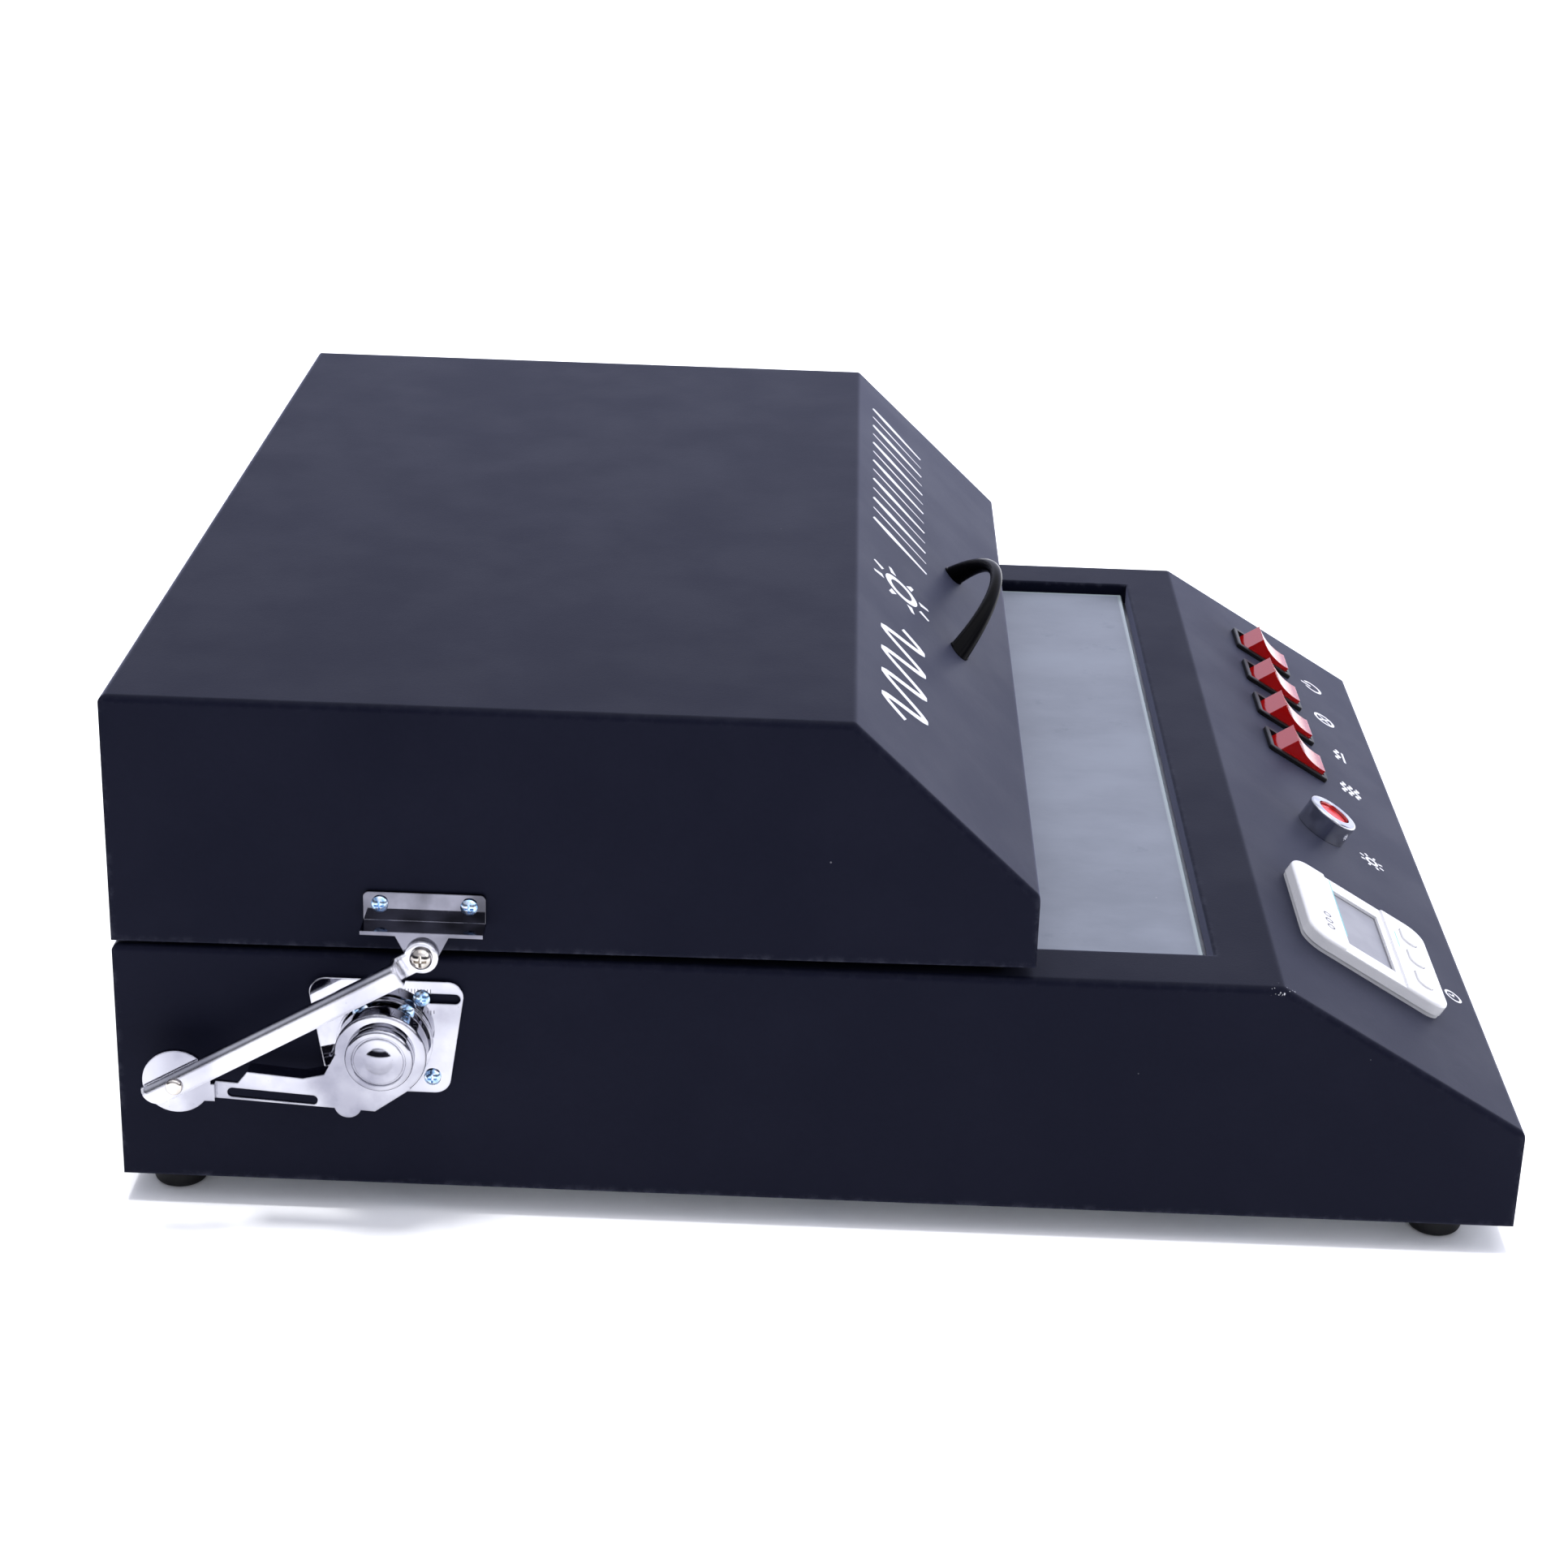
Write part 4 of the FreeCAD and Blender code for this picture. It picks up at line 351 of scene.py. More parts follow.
@dataclass(frozen=True)
class PowderCoat(Finish):
    """Near-black blue powder coat: fine grain, soft marks, dust, a few chipped edges, and paler edges that are
    part rubbed paint and part painted highlight.
    """

    body: Colour = (0.0036, 0.0042, 0.0112)
    haze: Colour = (0.0060, 0.0066, 0.0150)
    scuff_and_edge_highlight: Colour = (0.060, 0.062, 0.085)
    steel: Colour = (0.52, 0.53, 0.56)
    chips: tuple[tuple[float, float, float], ...] = ()
    chip_reach: float = 9 * MM

    def mix(self, graph: Graph) -> bpy.types.Material:
        """Paint with its grain, haze, dust specks, chips and paler edges, which are part rub and part painted
        highlight.

        Args:
            graph: the material's empty graph.

        Returns:
            The material.
        """
        grain = graph.noise(0.8 * MM, 3.0, 0.6)
        orange_peel = graph.noise(2.6 * MM, 1.0)
        haze = graph.noise(70 * MM, 4.0, 0.6)
        wipes = graph.noise(38 * MM, 3.0, 0.55)
        dust = graph.cells(21 * MM).step(0.021, 0.012) * graph.noise(60 * MM).step(0.48, 0.6)
        # paler edges: partly rubbed paint, partly a painted highlight along the bends
        rub_and_edge_highlight = graph.edges(3.0 * MM, 0.01, 0.14) * graph.noise(5 * MM, 4.0, 0.65).step(0.46, 0.66)
        colour = graph.mix(haze.step(0.35, 0.75) * 0.6, self.body, self.haze)
        colour = graph.mix(rub_and_edge_highlight * 0.55, colour, self.scuff_and_edge_highlight)
        colour = graph.mix(dust * 0.7, colour, (0.16, 0.16, 0.18))
        rough = 0.42 + wipes.step(0.3, 0.7) * 0.06 + grain * 0.08
        height = grain * 0.7 + orange_peel * 0.3
        chip = self.chip_mask(graph)
        if chip is not None:
            colour = graph.mix(chip, colour, self.steel)
            rough = rough - chip * 0.12
            height = height - chip * 2.0
        return graph.finish(
            Base_Color=colour,
            Roughness=rough,
            Specular_IOR_Level=0.065,
            Specular_Tint=(0.76, 0.80, 1.0),
            Sheen_Weight=0.32,
            Sheen_Roughness=0.30,
            Sheen_Tint=(0.62, 0.66, 1.0),
            Normal=graph.relief(height, 0.055 * MM, 0.8, 1.8 * MM),
        )

    def chip_mask(self, graph: Graph) -> Value | None:
        """Where the coat has come off near the named corners.

        Args:
            graph: the material's graph.

        Returns:
            The mask, or None without corners.
        """
        mask = None
        for corner in self.chips:
            away = graph.length(graph.vector("SUBTRACT", graph.place(), corner))
            near = away.step(self.chip_reach, 0.0)
            mask = near if mask is None else mask.over(near)
        if mask is None:
            return None
        bits = graph.noise(1.8 * MM, 3.0, 0.7)
        return (bits + mask * 0.20).step(0.75, 0.78) * mask.step(0.0, 0.15)


@dataclass(frozen=True)
class Plated(Finish):
    """A plated metal: its colour, how mirror-like it is, how far handling shows, and slow darker patches:
    painted reflection gradients on polished plating, large-scale tone on duller metal.
    """

    tint: Colour = (0.52, 0.52, 0.57)
    # shade: the darker colour of the slow patches, a painted reflection gradient on polished plating
    shade: Colour = (0.22, 0.22, 0.27)
    polish: float = 0.05
    smear: float = 0.07
    reflection_and_tone_size: float = 26 * MM
    ripple: float = 0.01 * MM
    stretch: Colour = (1.0, 1.0, 1.0)
    rounding: float = 0.5 * MM

    def mix(self, graph: Graph) -> bpy.types.Material:
        """Metal with cloudy smears, pin pricks, faint ripples and slow darker patches, which are painted
        reflection gradients on polished plating and large-scale tone on duller metal.

        Args:
            graph: the material's empty graph.

        Returns:
            The material.
        """
        cloud = graph.noise(9 * MM, 3.0, 0.55, self.stretch)
        reflection_and_tone_patches = graph.noise(self.reflection_and_tone_size, 1.0, 0.5, self.stretch)
        fine = graph.noise(0.8 * MM, 2.0, 0.5, self.stretch)
        pits = graph.cells(4.5 * MM).step(0.05, 0.03)
        worn = graph.edges(0.5 * MM, 0.05, 0.5)
        # slow patches of the shade colour: painted reflection gradients on polished plating, large-scale tone
        # on duller metal; the cloud share is handling smears
        colour = graph.mix(reflection_and_tone_patches.step(0.40, 0.72) * 0.75 + cloud.step(0.4, 0.7) * 0.2, self.tint, self.shade)
        colour = graph.mix(pits * 0.5, colour, (0.12, 0.12, 0.14))
        rough = self.polish + cloud.step(0.45, 0.75) * self.smear + pits * 0.2 + worn * 0.04
        height = cloud * 0.8 + fine * 0.2
        return graph.finish(
            Base_Color=colour,
            Metallic=1.0,
            Roughness=rough,
            Normal=graph.relief(height, self.ripple, 0.6, self.rounding),
        )


@dataclass(frozen=True)
class BlueZinc(Finish):
    """Blue-passivated zinc, with the film's straw and violet tints in the turned faces."""

    def mix(self, graph: Graph) -> bpy.types.Material:
        """Metal whose tint drifts from blue to straw, paler along its edges.

        Args:
            graph: the material's empty graph.

        Returns:
            The material.
        """
        film = graph.noise(1.6 * MM, 2.0)
        fine = graph.noise(0.3 * MM, 2.0)
        tint = graph.ramp(
            film,
            (0.30, (0.20, 0.36, 0.62)),
            (0.48, (0.42, 0.62, 0.86)),
            (0.62, (0.72, 0.80, 0.86)),
            (0.74, (0.52, 0.48, 0.62)),
        )
        corner = graph.edges(0.25 * MM, 0.05, 0.5)
        colour = graph.mix(corner * 0.5, tint, (0.80, 0.86, 0.92))
        return graph.finish(
            Base_Color=colour,
            Metallic=1.0,
            Roughness=0.16 + fine * 0.16,
            Normal=graph.relief(fine, 0.02 * MM, 0.5),
        )


@dataclass(frozen=True)
class Moulded(Finish):
    """A moulded plastic or rubber: colour, gloss, skin grain and wear."""

    colour: Colour = (0.02, 0.02, 0.022)
    worn: Colour = (0.10, 0.10, 0.11)
    gloss: float = 0.35
    grain: float = 0.5 * MM
    grain_depth: float = 0.01 * MM
    coat: float = 0.0
    soft: float = 0.0
    soft_tint: Colour = (1.0, 0.5, 0.4)
    specular: float = 0.5

    def mix(self, graph: Graph) -> bpy.types.Material:
        """Plastic with a moulded skin, handling marks and paler edges.

        Args:
            graph: the material's empty graph.

        Returns:
            The material.
        """
        skin = graph.noise(self.grain, 2.0)
        cloud = graph.noise(14 * MM, 3.0)
        edge = graph.edges(0.4 * MM, 0.04, 0.5) * graph.noise(3 * MM, 2.0).step(0.4, 0.7)
        colour = graph.mix(cloud.step(0.3, 0.8) * 0.12 + edge * 0.25, self.colour, self.worn)
        return graph.finish(
            Base_Color=colour,
            Roughness=self.gloss + cloud.step(0.4, 0.8) * 0.08 + edge * 0.1,
            Specular_IOR_Level=self.specular,
            Coat_Weight=self.coat,
            Coat_Roughness=0.06,
            Subsurface_Weight=self.soft,
            Subsurface_Radius=self.soft_tint,
            Subsurface_Scale=2.0 * MM,
            Normal=graph.relief(skin, self.grain_depth, 0.6, 0.35 * MM),
        )


@dataclass(frozen=True)
class FrostedGlass(Finish):
    """The work plate: milky glass with wiped smears and a clearer, greener rim."""

    low: Point = (0.0, 0.0)
    high: Point = (0.0, 0.0)

    def mix(self, graph: Graph) -> bpy.types.Material:
        """Milky top, diagonal wipes, settled dust and the rim's tint.

        Args:
            graph: the material's empty graph.

        Returns:
            The material.
        """
        x, y, _ = graph.split(graph.place())
        rim = (x - self.low[0]).under(self.high[0] - x)
        rim = rim.under((y - self.low[1]).under(self.high[1] - y))
        clear = rim.step(2.4 * MM, 1.2 * MM)
        wipes = graph.noise(60 * MM, 6.0, 0.62, (1.0, 0.6, 1.0))
        drops = graph.noise(14 * MM, 5.0, 0.66).step(0.58, 0.74) * graph.noise(90 * MM).step(0.45, 0.6)
        lint = graph.cells(17 * MM).step(0.022, 0.014)
        colour = graph.mix(wipes.step(0.34, 0.68), (0.135, 0.152, 0.190), (0.205, 0.226, 0.275))
        colour = graph.mix(drops * 0.22, colour, (0.13, 0.145, 0.18))
        colour = graph.mix(clear * 0.8, colour, (0.30, 0.36, 0.37))
        colour = graph.mix(lint * 0.5, colour, (0.5, 0.5, 0.52))
        rough = 0.40 + wipes.step(0.4, 0.7) * 0.14 + drops * 0.10 - clear * 0.24
        return graph.finish(
            Base_Color=colour,
            Roughness=rough,
            Specular_IOR_Level=0.55,
            Normal=graph.relief(graph.noise(0.6 * MM, 2.0), 0.01 * MM, 0.4),
        )


@dataclass(frozen=True)
class LampTube(Finish):
    """A fluorescent tube along X: powdered glass, dark ends and metal caps."""

    cap_from: float = 0.2
    glass: Colour = (0.80, 0.80, 0.84)

    def mix(self, graph: Graph) -> bpy.types.Material:
        """Powdered glass that greys towards the caps, and brushed caps.

        Args:
            graph: the material's empty graph.

        Returns:
            The material.
        """
        x, _, _ = graph.split(graph.place())
        out = abs(x)
        cap = out.step(self.cap_from - 0.2 * MM, self.cap_from + 0.2 * MM)
        used = out.step(self.cap_from - 26 * MM, self.cap_from) * 0.55
        powder = graph.noise(3 * MM, 3.0)
        colour = graph.mix(used * powder, self.glass, (0.22, 0.21, 0.22))
        colour = graph.mix(cap, colour, (0.74, 0.75, 0.77))
        return graph.finish(
            Base_Color=colour,
            Metallic=cap,
            Roughness=0.22 + powder * 0.12,
            Normal=graph.relief(powder, 0.01 * MM, 0.4),
        )


@dataclass(frozen=True)
class DisplayGlass(Finish):
    """A blank liquid crystal display: a grey cell with a soft sheen."""

    def mix(self, graph: Graph) -> bpy.types.Material:
        """Grey cell, cloudy and finely grained.

        Args:
            graph: the material's empty graph.

        Returns:
            The material.
        """
        fine = graph.noise(0.35 * MM, 2.0)
        cloud = graph.noise(16 * MM, 3.0)
        colour = graph.mix(cloud.step(0.3, 0.7), (0.215, 0.218, 0.245), (0.275, 0.275, 0.305))
        colour = graph.mix(fine.step(0.5, 0.8) * 0.15, colour, (0.16, 0.16, 0.18))
        return graph.finish(
            Base_Color=colour,
            Roughness=0.30 + cloud * 0.1,
            Specular_IOR_Level=0.35,
            Normal=graph.relief(fine, 0.004 * MM, 0.4),
        )


@dataclass(frozen=True)
class Ink(Finish):
    """Screen-printed ink: one colour with pinholes and thinner patches."""

    colour: Colour = (0.80, 0.80, 0.82)

    def mix(self, graph: Graph) -> bpy.types.Material:
        """Ink film over grainy paint.

        Args:
            graph: the material's empty graph.

        Returns:
            The material.
        """
        grain = graph.noise(0.5 * MM, 3.0, 0.6)
        thin = graph.noise(6 * MM, 3.0)
        dull = tuple(0.72 * part for part in self.colour)
        colour = graph.mix(grain.step(0.5, 0.75) * 0.35 + thin.step(0.5, 0.8) * 0.2, self.colour, dull)
        return graph.finish(
            Base_Color=colour,
            Roughness=0.42 + grain * 0.12,
            Normal=graph.relief(grain, 0.03 * MM, 0.6),
        )


@dataclass(frozen=True)
class Backdrop(Finish):
    """The studio's matt white table."""

    def mix(self, graph: Graph) -> bpy.types.Material:
        """Matt white with the faintest cloudiness.

        Args:
            graph: the material's empty graph.

        Returns:
            The material.
        """
        cloud = graph.noise(0.4, 2.0)
        colour = graph.mix(cloud.step(0.3, 0.7), (0.925, 0.925, 0.93), (0.945, 0.945, 0.95))
        return graph.finish(
            Base_Color=colour,
            Roughness=0.9,
            Specular_IOR_Level=0.1,
            Emission_Color=(0.93, 0.94, 1.0),
            Emission_Strength=0.03,
        )


CHROME = Plated("stay_chrome", polish=0.035, smear=0.05, rounding=0.8 * MM)
# the upper arm's chrome is a lighter copy of the stay chrome: a painted brighter reflection
BRIGHT_PAINTED_ARM_CHROME = Plated("arm_chrome", (0.66, 0.66, 0.70), (0.34, 0.34, 0.40), 0.05, 0.04, rounding=2.4 * MM)
# the bracket's chrome is darker all over: a painted darker reflection on the same plating
DARK_PAINTED_BRACKET_CHROME = Plated("bracket_chrome", (0.20, 0.20, 0.24), (0.05, 0.05, 0.06), 0.05, 0.05, 16 * MM)
NICKEL = Plated("pivot_nickel", (0.62, 0.58, 0.53), (0.36, 0.33, 0.30), 0.12, 0.10, 5 * MM)
BEZEL = Plated("bezel_chrome", (0.58, 0.59, 0.63), (0.30, 0.31, 0.35), 0.06, 0.05, 8 * MM)
HINGE = Plated("hinge_steel", (0.70, 0.70, 0.72), (0.52, 0.52, 0.55), 0.20, 0.12)
GALVANISED = Plated("bottom_steel", (0.58, 0.60, 0.62), (0.40, 0.42, 0.45), 0.34, 0.16, 60 * MM, 0.03 * MM)
PLAIN_STEEL = Plated("inner_steel", (0.52, 0.53, 0.55), (0.36, 0.37, 0.39), 0.30, 0.14, 60 * MM, 0.02 * MM)
ALUMINIUM = Plated("reflector_aluminium", (0.80, 0.81, 0.82), (0.62, 0.63, 0.65), 0.30, 0.12, 60 * MM,
                   0.02 * MM, (0.15, 1.0, 1.0))
BRASS = Plated("pin_brass", (0.82, 0.66, 0.36), (0.60, 0.46, 0.24), 0.20, 0.12)
ZINC = BlueZinc("zinc_screw")
RUBBER = Moulded("foot_rubber", (0.005, 0.005, 0.006), (0.03, 0.03, 0.034), 0.60, 0.7 * MM, 0.03 * MM,
                 specular=0.25)
HOLDER = Moulded("holder_plastic", (0.80, 0.80, 0.77), (0.62, 0.61, 0.56), 0.38)
BALLAST_PAINT = Moulded("ballast_case", (0.72, 0.72, 0.69), (0.5, 0.5, 0.48), 0.42)
BLACK_PLASTIC = Moulded("black_plastic", (0.006, 0.006, 0.007), (0.045, 0.045, 0.05), 0.30,
                        0.4 * MM, 0.008 * MM, specular=0.10)
ROCKER_RED = Moulded("rocker_red", (0.36, 0.003, 0.003), (0.46, 0.02, 0.02), 0.15, 1.2 * MM,
                     0.003 * MM, 0.25, 0.2, specular=0.4)
LENS_RED = Moulded("indicator_red", (0.66, 0.006, 0.003), (0.74, 0.02, 0.01), 0.14, 1.1 * MM,
                   0.02 * MM, 0.05, 0.1, specular=0.15)
TIMER_WHITE = Moulded("timer_white", (0.80, 0.795, 0.805), (0.70, 0.70, 0.71), 0.24, 1.0 * MM,
                      0.003 * MM, 0.15)
TIMER_GREY = Moulded("timer_grey", (0.62, 0.62, 0.63), (0.48, 0.48, 0.49), 0.42)
HANDLE_BLACK = Moulded("handle_black", (0.0025, 0.0025, 0.003), (0.012, 0.012, 0.014), 0.14, 2.0 * MM,
                       0.003 * MM, specular=0.02)
WHITE_INK = Ink("white_ink")
TEAL_INK = Ink("teal_ink", (0.16, 0.56, 0.56))
GREY_INK = Ink("grey_ink", (0.12, 0.12, 0.14))


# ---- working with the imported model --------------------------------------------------
PANEL_WAY = (0.0, -0.51, 0.86)
SLOPE_WAY = (0.0, -0.68, 0.73)


def middle(node: str) -> Vector:
    """Middle of a node's box."""
    low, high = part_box(node)
    return (low + high) / 2


def dress(finish: Finish, *nodes: str) -> None:
    """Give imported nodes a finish.

    Args:
        finish: the finish they wear.
        nodes: node names.
    """
    material = finish.make()
    for node in nodes:
        LOG.info("%s: wears %s", node, finish.name)
        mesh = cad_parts[node].data
        mesh.materials.clear()
        mesh.materials.append(material)


@dataclass(frozen=True)
class Face:
    """A flat face of the box with its own axes: rightward, up the face, and outward."""

    origin: Vector
    across: Vector
    up: Vector
    out: Vector

    @classmethod
    def on(cls, node: str, towards: Sequence[float]) -> "Face":
        """The largest flat face of a node that looks roughly one way.

        Args:
            node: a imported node.
            towards: the rough outward direction.

        Returns:
            The face, its origin in the middle of its highest edge.
        """
        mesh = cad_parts[node].data
        aim = Vector(towards).normalized()
        facing = [p for p in mesh.polygons if p.normal.dot(aim) > 0.94]
        broad = [p for p in facing if p.area > 0.2 * max(q.area for q in facing)]
        best = max(broad, key=lambda p: p.normal.dot(p.center))
        out = best.normal.copy()
        up = (Vector((0.0, 0.0, 1.0)) - out * out.z).normalized()
        across = up.cross(out)
        level = out.dot(best.center)
        corners = [
            mesh.vertices[i].co for p in facing for i in p.vertices
            if abs(out.dot(mesh.vertices[i].co) - level) < 0.05 * MM
        ]
        ends = [corner.dot(across) for corner in corners]
        top = max(corner.dot(up) for corner in corners)
        origin = across * (min(ends) + max(ends)) / 2 + up * top + out * level
        return cls(origin, across, up, out)

    def at(self, right: float, up: float, out: float = 0.0) -> Vector:
        """A point of the face: to the right, up the slope and outward."""
        return self.origin + self.across * right + self.up * up + self.out * out

    def find(self, point: Vector) -> Point:
        """Where a point lies on the face: right, up."""
        away = point - self.origin
        return away.dot(self.across), away.dot(self.up)


# ---- meshes -------------------------------------------------------------------------
class Stencil:
    """Flat marks drawn with strokes on a face, then raised into a thin closed film."""

    def __init__(self, face: Face, film: float = 0.05 * MM) -> None:
        """Start an empty stencil.

        Args:
            face: the face that it lies on.
            film: thickness of the film.
        """
        self.face = face
        self.film = film
        self.mesh = bmesh.new()

    def ribbon(self, left: Sequence[Point], right: Sequence[Point], closed: bool = False) -> None:
        """A band between two rows of points.

        Args:
            left: one edge.
            right: the other edge, point for point.
            closed: whether the band runs back to its start.
        """
        rows = []
        for height in (-0.2 * self.film, self.film):
            for edge in (left, right):
                rows.append([self.mesh.verts.new(self.face.at(u, v, height)) for u, v in edge])
        low_left, low_right, top_left, top_right = rows
        count = len(left)
        for i in range(count if closed else count - 1):
            j = (i + 1) % count
            self.mesh.faces.new((top_left[i], top_left[j], top_right[j], top_right[i]))
            self.mesh.faces.new((low_left[i], low_right[i], low_right[j], low_left[j]))
            self.mesh.faces.new((low_left[i], low_left[j], top_left[j], top_left[i]))
            self.mesh.faces.new((low_right[i], top_right[i], top_right[j], low_right[j]))
        if not closed:
            for i in (0, count - 1):
                self.mesh.faces.new((low_left[i], top_left[i], top_right[i], low_right[i]))

    def bar(self, start: Point, end: Point, width: float, end_width: float | None = None) -> None:
        """A straight stroke.

        Args:
            start: one end.
            end: the other end.
            width: width at the start.
            end_width: width at the end, if it differs.
        """
        run = Vector((end[0] - start[0], end[1] - start[1]))
        side = Vector((-run.y, run.x)).normalized()
        widths = (width, width if end_width is None else end_width)
        left, right = (
            [(p[0] + sign * side.x * w / 2, p[1] + sign * side.y * w / 2) for p, w in zip((start, end), widths)]
            for sign in (1, -1)
        )
        self.ribbon(left, right)

    def arc(self, centre: Point, radius: float, width: float, start: float = 0.0,
            end: float = 360.0) -> None:
        """A stroke along an arc between two angles, or a whole ring.

        Args:
            centre: middle of the arc.
            radius: radius of the stroke's middle line.
            width: width of the stroke.
            start: first angle in degrees.
            end: last angle in degrees.
        """
        whole = abs(end - start) >= 360.0
        steps = max(6, round(abs(end - start) / 10))
        angles = [math.radians(start + (end - start) * i / steps) for i in range(steps + (not whole))]
        edges = [
            [(centre[0] + r * math.cos(a), centre[1] + r * math.sin(a)) for a in angles]
            for r in (radius - width / 2, radius + width / 2)
        ]
        self.ribbon(edges[0], edges[1], whole)

    def wave(self, start: Point, length: float, rise: float, turns: int, width: float) -> None:
        """A wavy stroke to the right of a point.

        Args:
            start: its left end, on the middle line.
            length: how far right it runs.
            rise: height of a crest over the middle line.
            turns: number of whole waves.
            width: width of the stroke.
        """
        steps = 14 * turns
        left, right = [], []
        for i in range(steps + 1):
            share = i / steps
            angle = 2 * math.pi * turns * share
            slope = rise * math.cos(angle) * 2 * math.pi * turns / length
            tilt = math.hypot(1.0, slope)
            u = start[0] + length * share
            v = start[1] + rise * math.sin(angle)
            side = (-slope / tilt * width / 2, width / 2 / tilt)
            left.append((u + side[0], v + side[1]))
            right.append((u - side[0], v - side[1]))
        self.ribbon(left, right)

    def rays(self, centre: Point, inner: float, outer: float, count: int, width: float,
             end_width: float | None = None) -> None:
        """Short strokes pointing away from a centre.

        Args:
            centre: the centre.
            inner: distance at which they start.
            outer: distance at which they end.
            count: how many.
            width: their width at the start.
            end_width: their width at the end, if it differs.
        """
        for i in range(count):
            angle = 2 * math.pi * (i + 0.5) / count
            aim = (math.cos(angle), math.sin(angle))
            start = (centre[0] + inner * aim[0], centre[1] + inner * aim[1])
            end = (centre[0] + outer * aim[0], centre[1] + outer * aim[1])
            self.bar(start, end, width, end_width)

    def done(self, name: str, body: str, finish: Finish) -> None:
        """Turn the strokes into a piece, dress it and let it ride on a body.

        Args:
            name: the piece's name.
            body: the body it rides on.
            finish: the ink.
        """
        bmesh.ops.recalc_face_normals(self.mesh, faces=self.mesh.faces[:])
        mesh = bpy.data.meshes.new(name)
        self.mesh.to_mesh(mesh)
        self.mesh.free()
        piece = bpy.data.objects.new(name, mesh)
        bpy.context.scene.collection.objects.link(piece)
        mesh.materials.append(finish.make())
        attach(piece, body)
        LOG.info("%s: %d faces, on %s", name, len(mesh.polygons), body)


class Mark(Enum):
    """The pictograms printed on the panel."""

    POWER = "power"
    LAMP = "lamp"
    PRE_CURE = "pre_uv"
    MAIN_CURE = "main_uv"
    PILOT = "pilot"
    CLOCK = "clock"

    def draw(self, stencil: Stencil, centre: Point, size: float) -> None:
        """Draw the pictogram.

        Args:
            stencil: where it goes.
            centre: its middle on the face.
            size: its height.
        """
        u, v = centre
        half = size / 2
        line = 0.13 * size
        if self is Mark.POWER:
            stencil.arc(centre, half * 0.8, line, 125, 415)
            stencil.bar((u, v + half * 0.15), (u, v + half * 1.1), line)
        elif self is Mark.LAMP:
            stencil.arc(centre, half * 0.85, line)
            for side in (-1, 1):
                reach = half * 0.56
                stencil.bar((u - side * reach, v - reach), (u + side * reach, v + reach), line * 0.8)
        elif self is Mark.PILOT:
            stencil.arc(centre, half * 0.42, line)
            stencil.rays(centre, half * 0.68, half * 1.05, 8, line * 0.8)
        elif self is Mark.CLOCK:
            stencil.arc(centre, half * 0.85, line)
            stencil.bar((u, v - line / 2), (u, v + half * 0.55), line * 0.8)
            stencil.bar(centre, (u + half * 0.42, v - half * 0.1), line * 0.8)
        else:
            rows = (-1, 0, 1) if self is Mark.MAIN_CURE else (0,)
            for row in rows:
                stencil.wave((u - half, v + row * half * 0.62), size, half * 0.2, 2, line)
            if self is Mark.PRE_CURE:
                stencil.bar((u - half, v - half * 0.6), (u + half, v - half * 0.6), line * 0.8)


SWITCH_MARKS = (Mark.POWER, Mark.LAMP, Mark.PRE_CURE, Mark.MAIN_CURE)


# ---- sub-assemblies -----------------------------------------------------------------
@dataclass
class Assembly:
    """One group of the box's pieces."""

    name: str

    def dress(self) -> None:
        """Give the group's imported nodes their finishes."""
        raise NotImplementedError

    def build(self) -> None:
        """Build the pieces that only exist as looks."""


@dataclass
class Housing(Assembly):
    """The painted base on its four rubber feet."""

    name: str = "housing"

    def dress(self) -> None:
        """Paint the base, with chips where its panel bends, and dress what holds it."""
        panel = Face.on("base_housing", PANEL_WAY)
        low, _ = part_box("base_housing")
        bend = panel.origin
        corner = (low.x + 1 * MM, bend.y, bend.z - 1 * MM)
        dress(PowderCoat("base_paint", chips=(corner,)), "base_housing")
        dress(GALVANISED, "bottom_plate")
        dress(RUBBER, *(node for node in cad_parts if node.startswith("foot_") and "screws" not in node))
        dress(ZINC, "foot_screws", "base_screws")


@dataclass
class WorkPlate(Assembly):
    """The frosted glass and the ledge that carries it."""

    name: str = "work plate"

    def dress(self) -> None:
        """Frost the glass inside its clearer rim."""
        low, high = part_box("glass_plate")
        dress(FrostedGlass("frosted_glass", (low.x, low.y), (high.x, high.y)), "glass_plate")
        dress(PLAIN_STEEL, "glass_ledge")


@dataclass
class LampBank(Assembly):
    """The tubes, their holders, the reflector and the ballasts."""

    name: str = "lamp bank"
    cap_length: float = 14 * MM

    def dress(self) -> None:
        """Dress the tubes by kind, and what they stand on."""
        _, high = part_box("pre_uv_tube")
        cap_from = high.x - self.cap_length
        uv = LampTube("uv_tube", cap_from=cap_from, glass=(0.78, 0.78, 0.86))
        white = LampTube("white_tube", cap_from=cap_from, glass=(0.86, 0.86, 0.84))
        dress(uv, "pre_uv_tube", *(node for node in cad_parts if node.startswith("main_uv_tube")))
        dress(white, "work_lamp_tube")
        dress(HOLDER, "lampholders")
        dress(ALUMINIUM, "reflector_tray")
        dress(BALLAST_PAINT, "ballasts")


@dataclass
class RearFittings(Assembly):
    """The mains inlet and the two hinges."""

    name: str = "rear fittings"

    def dress(self) -> None:
        """Dress the inlet and the hinges."""
        dress(BLACK_PLASTIC, "power_inlet")
        dress(BRASS, "inlet_pins")
        dress(HINGE, "hinge_base_leaves", "hinge_lid_leaves", "hinge_pins")


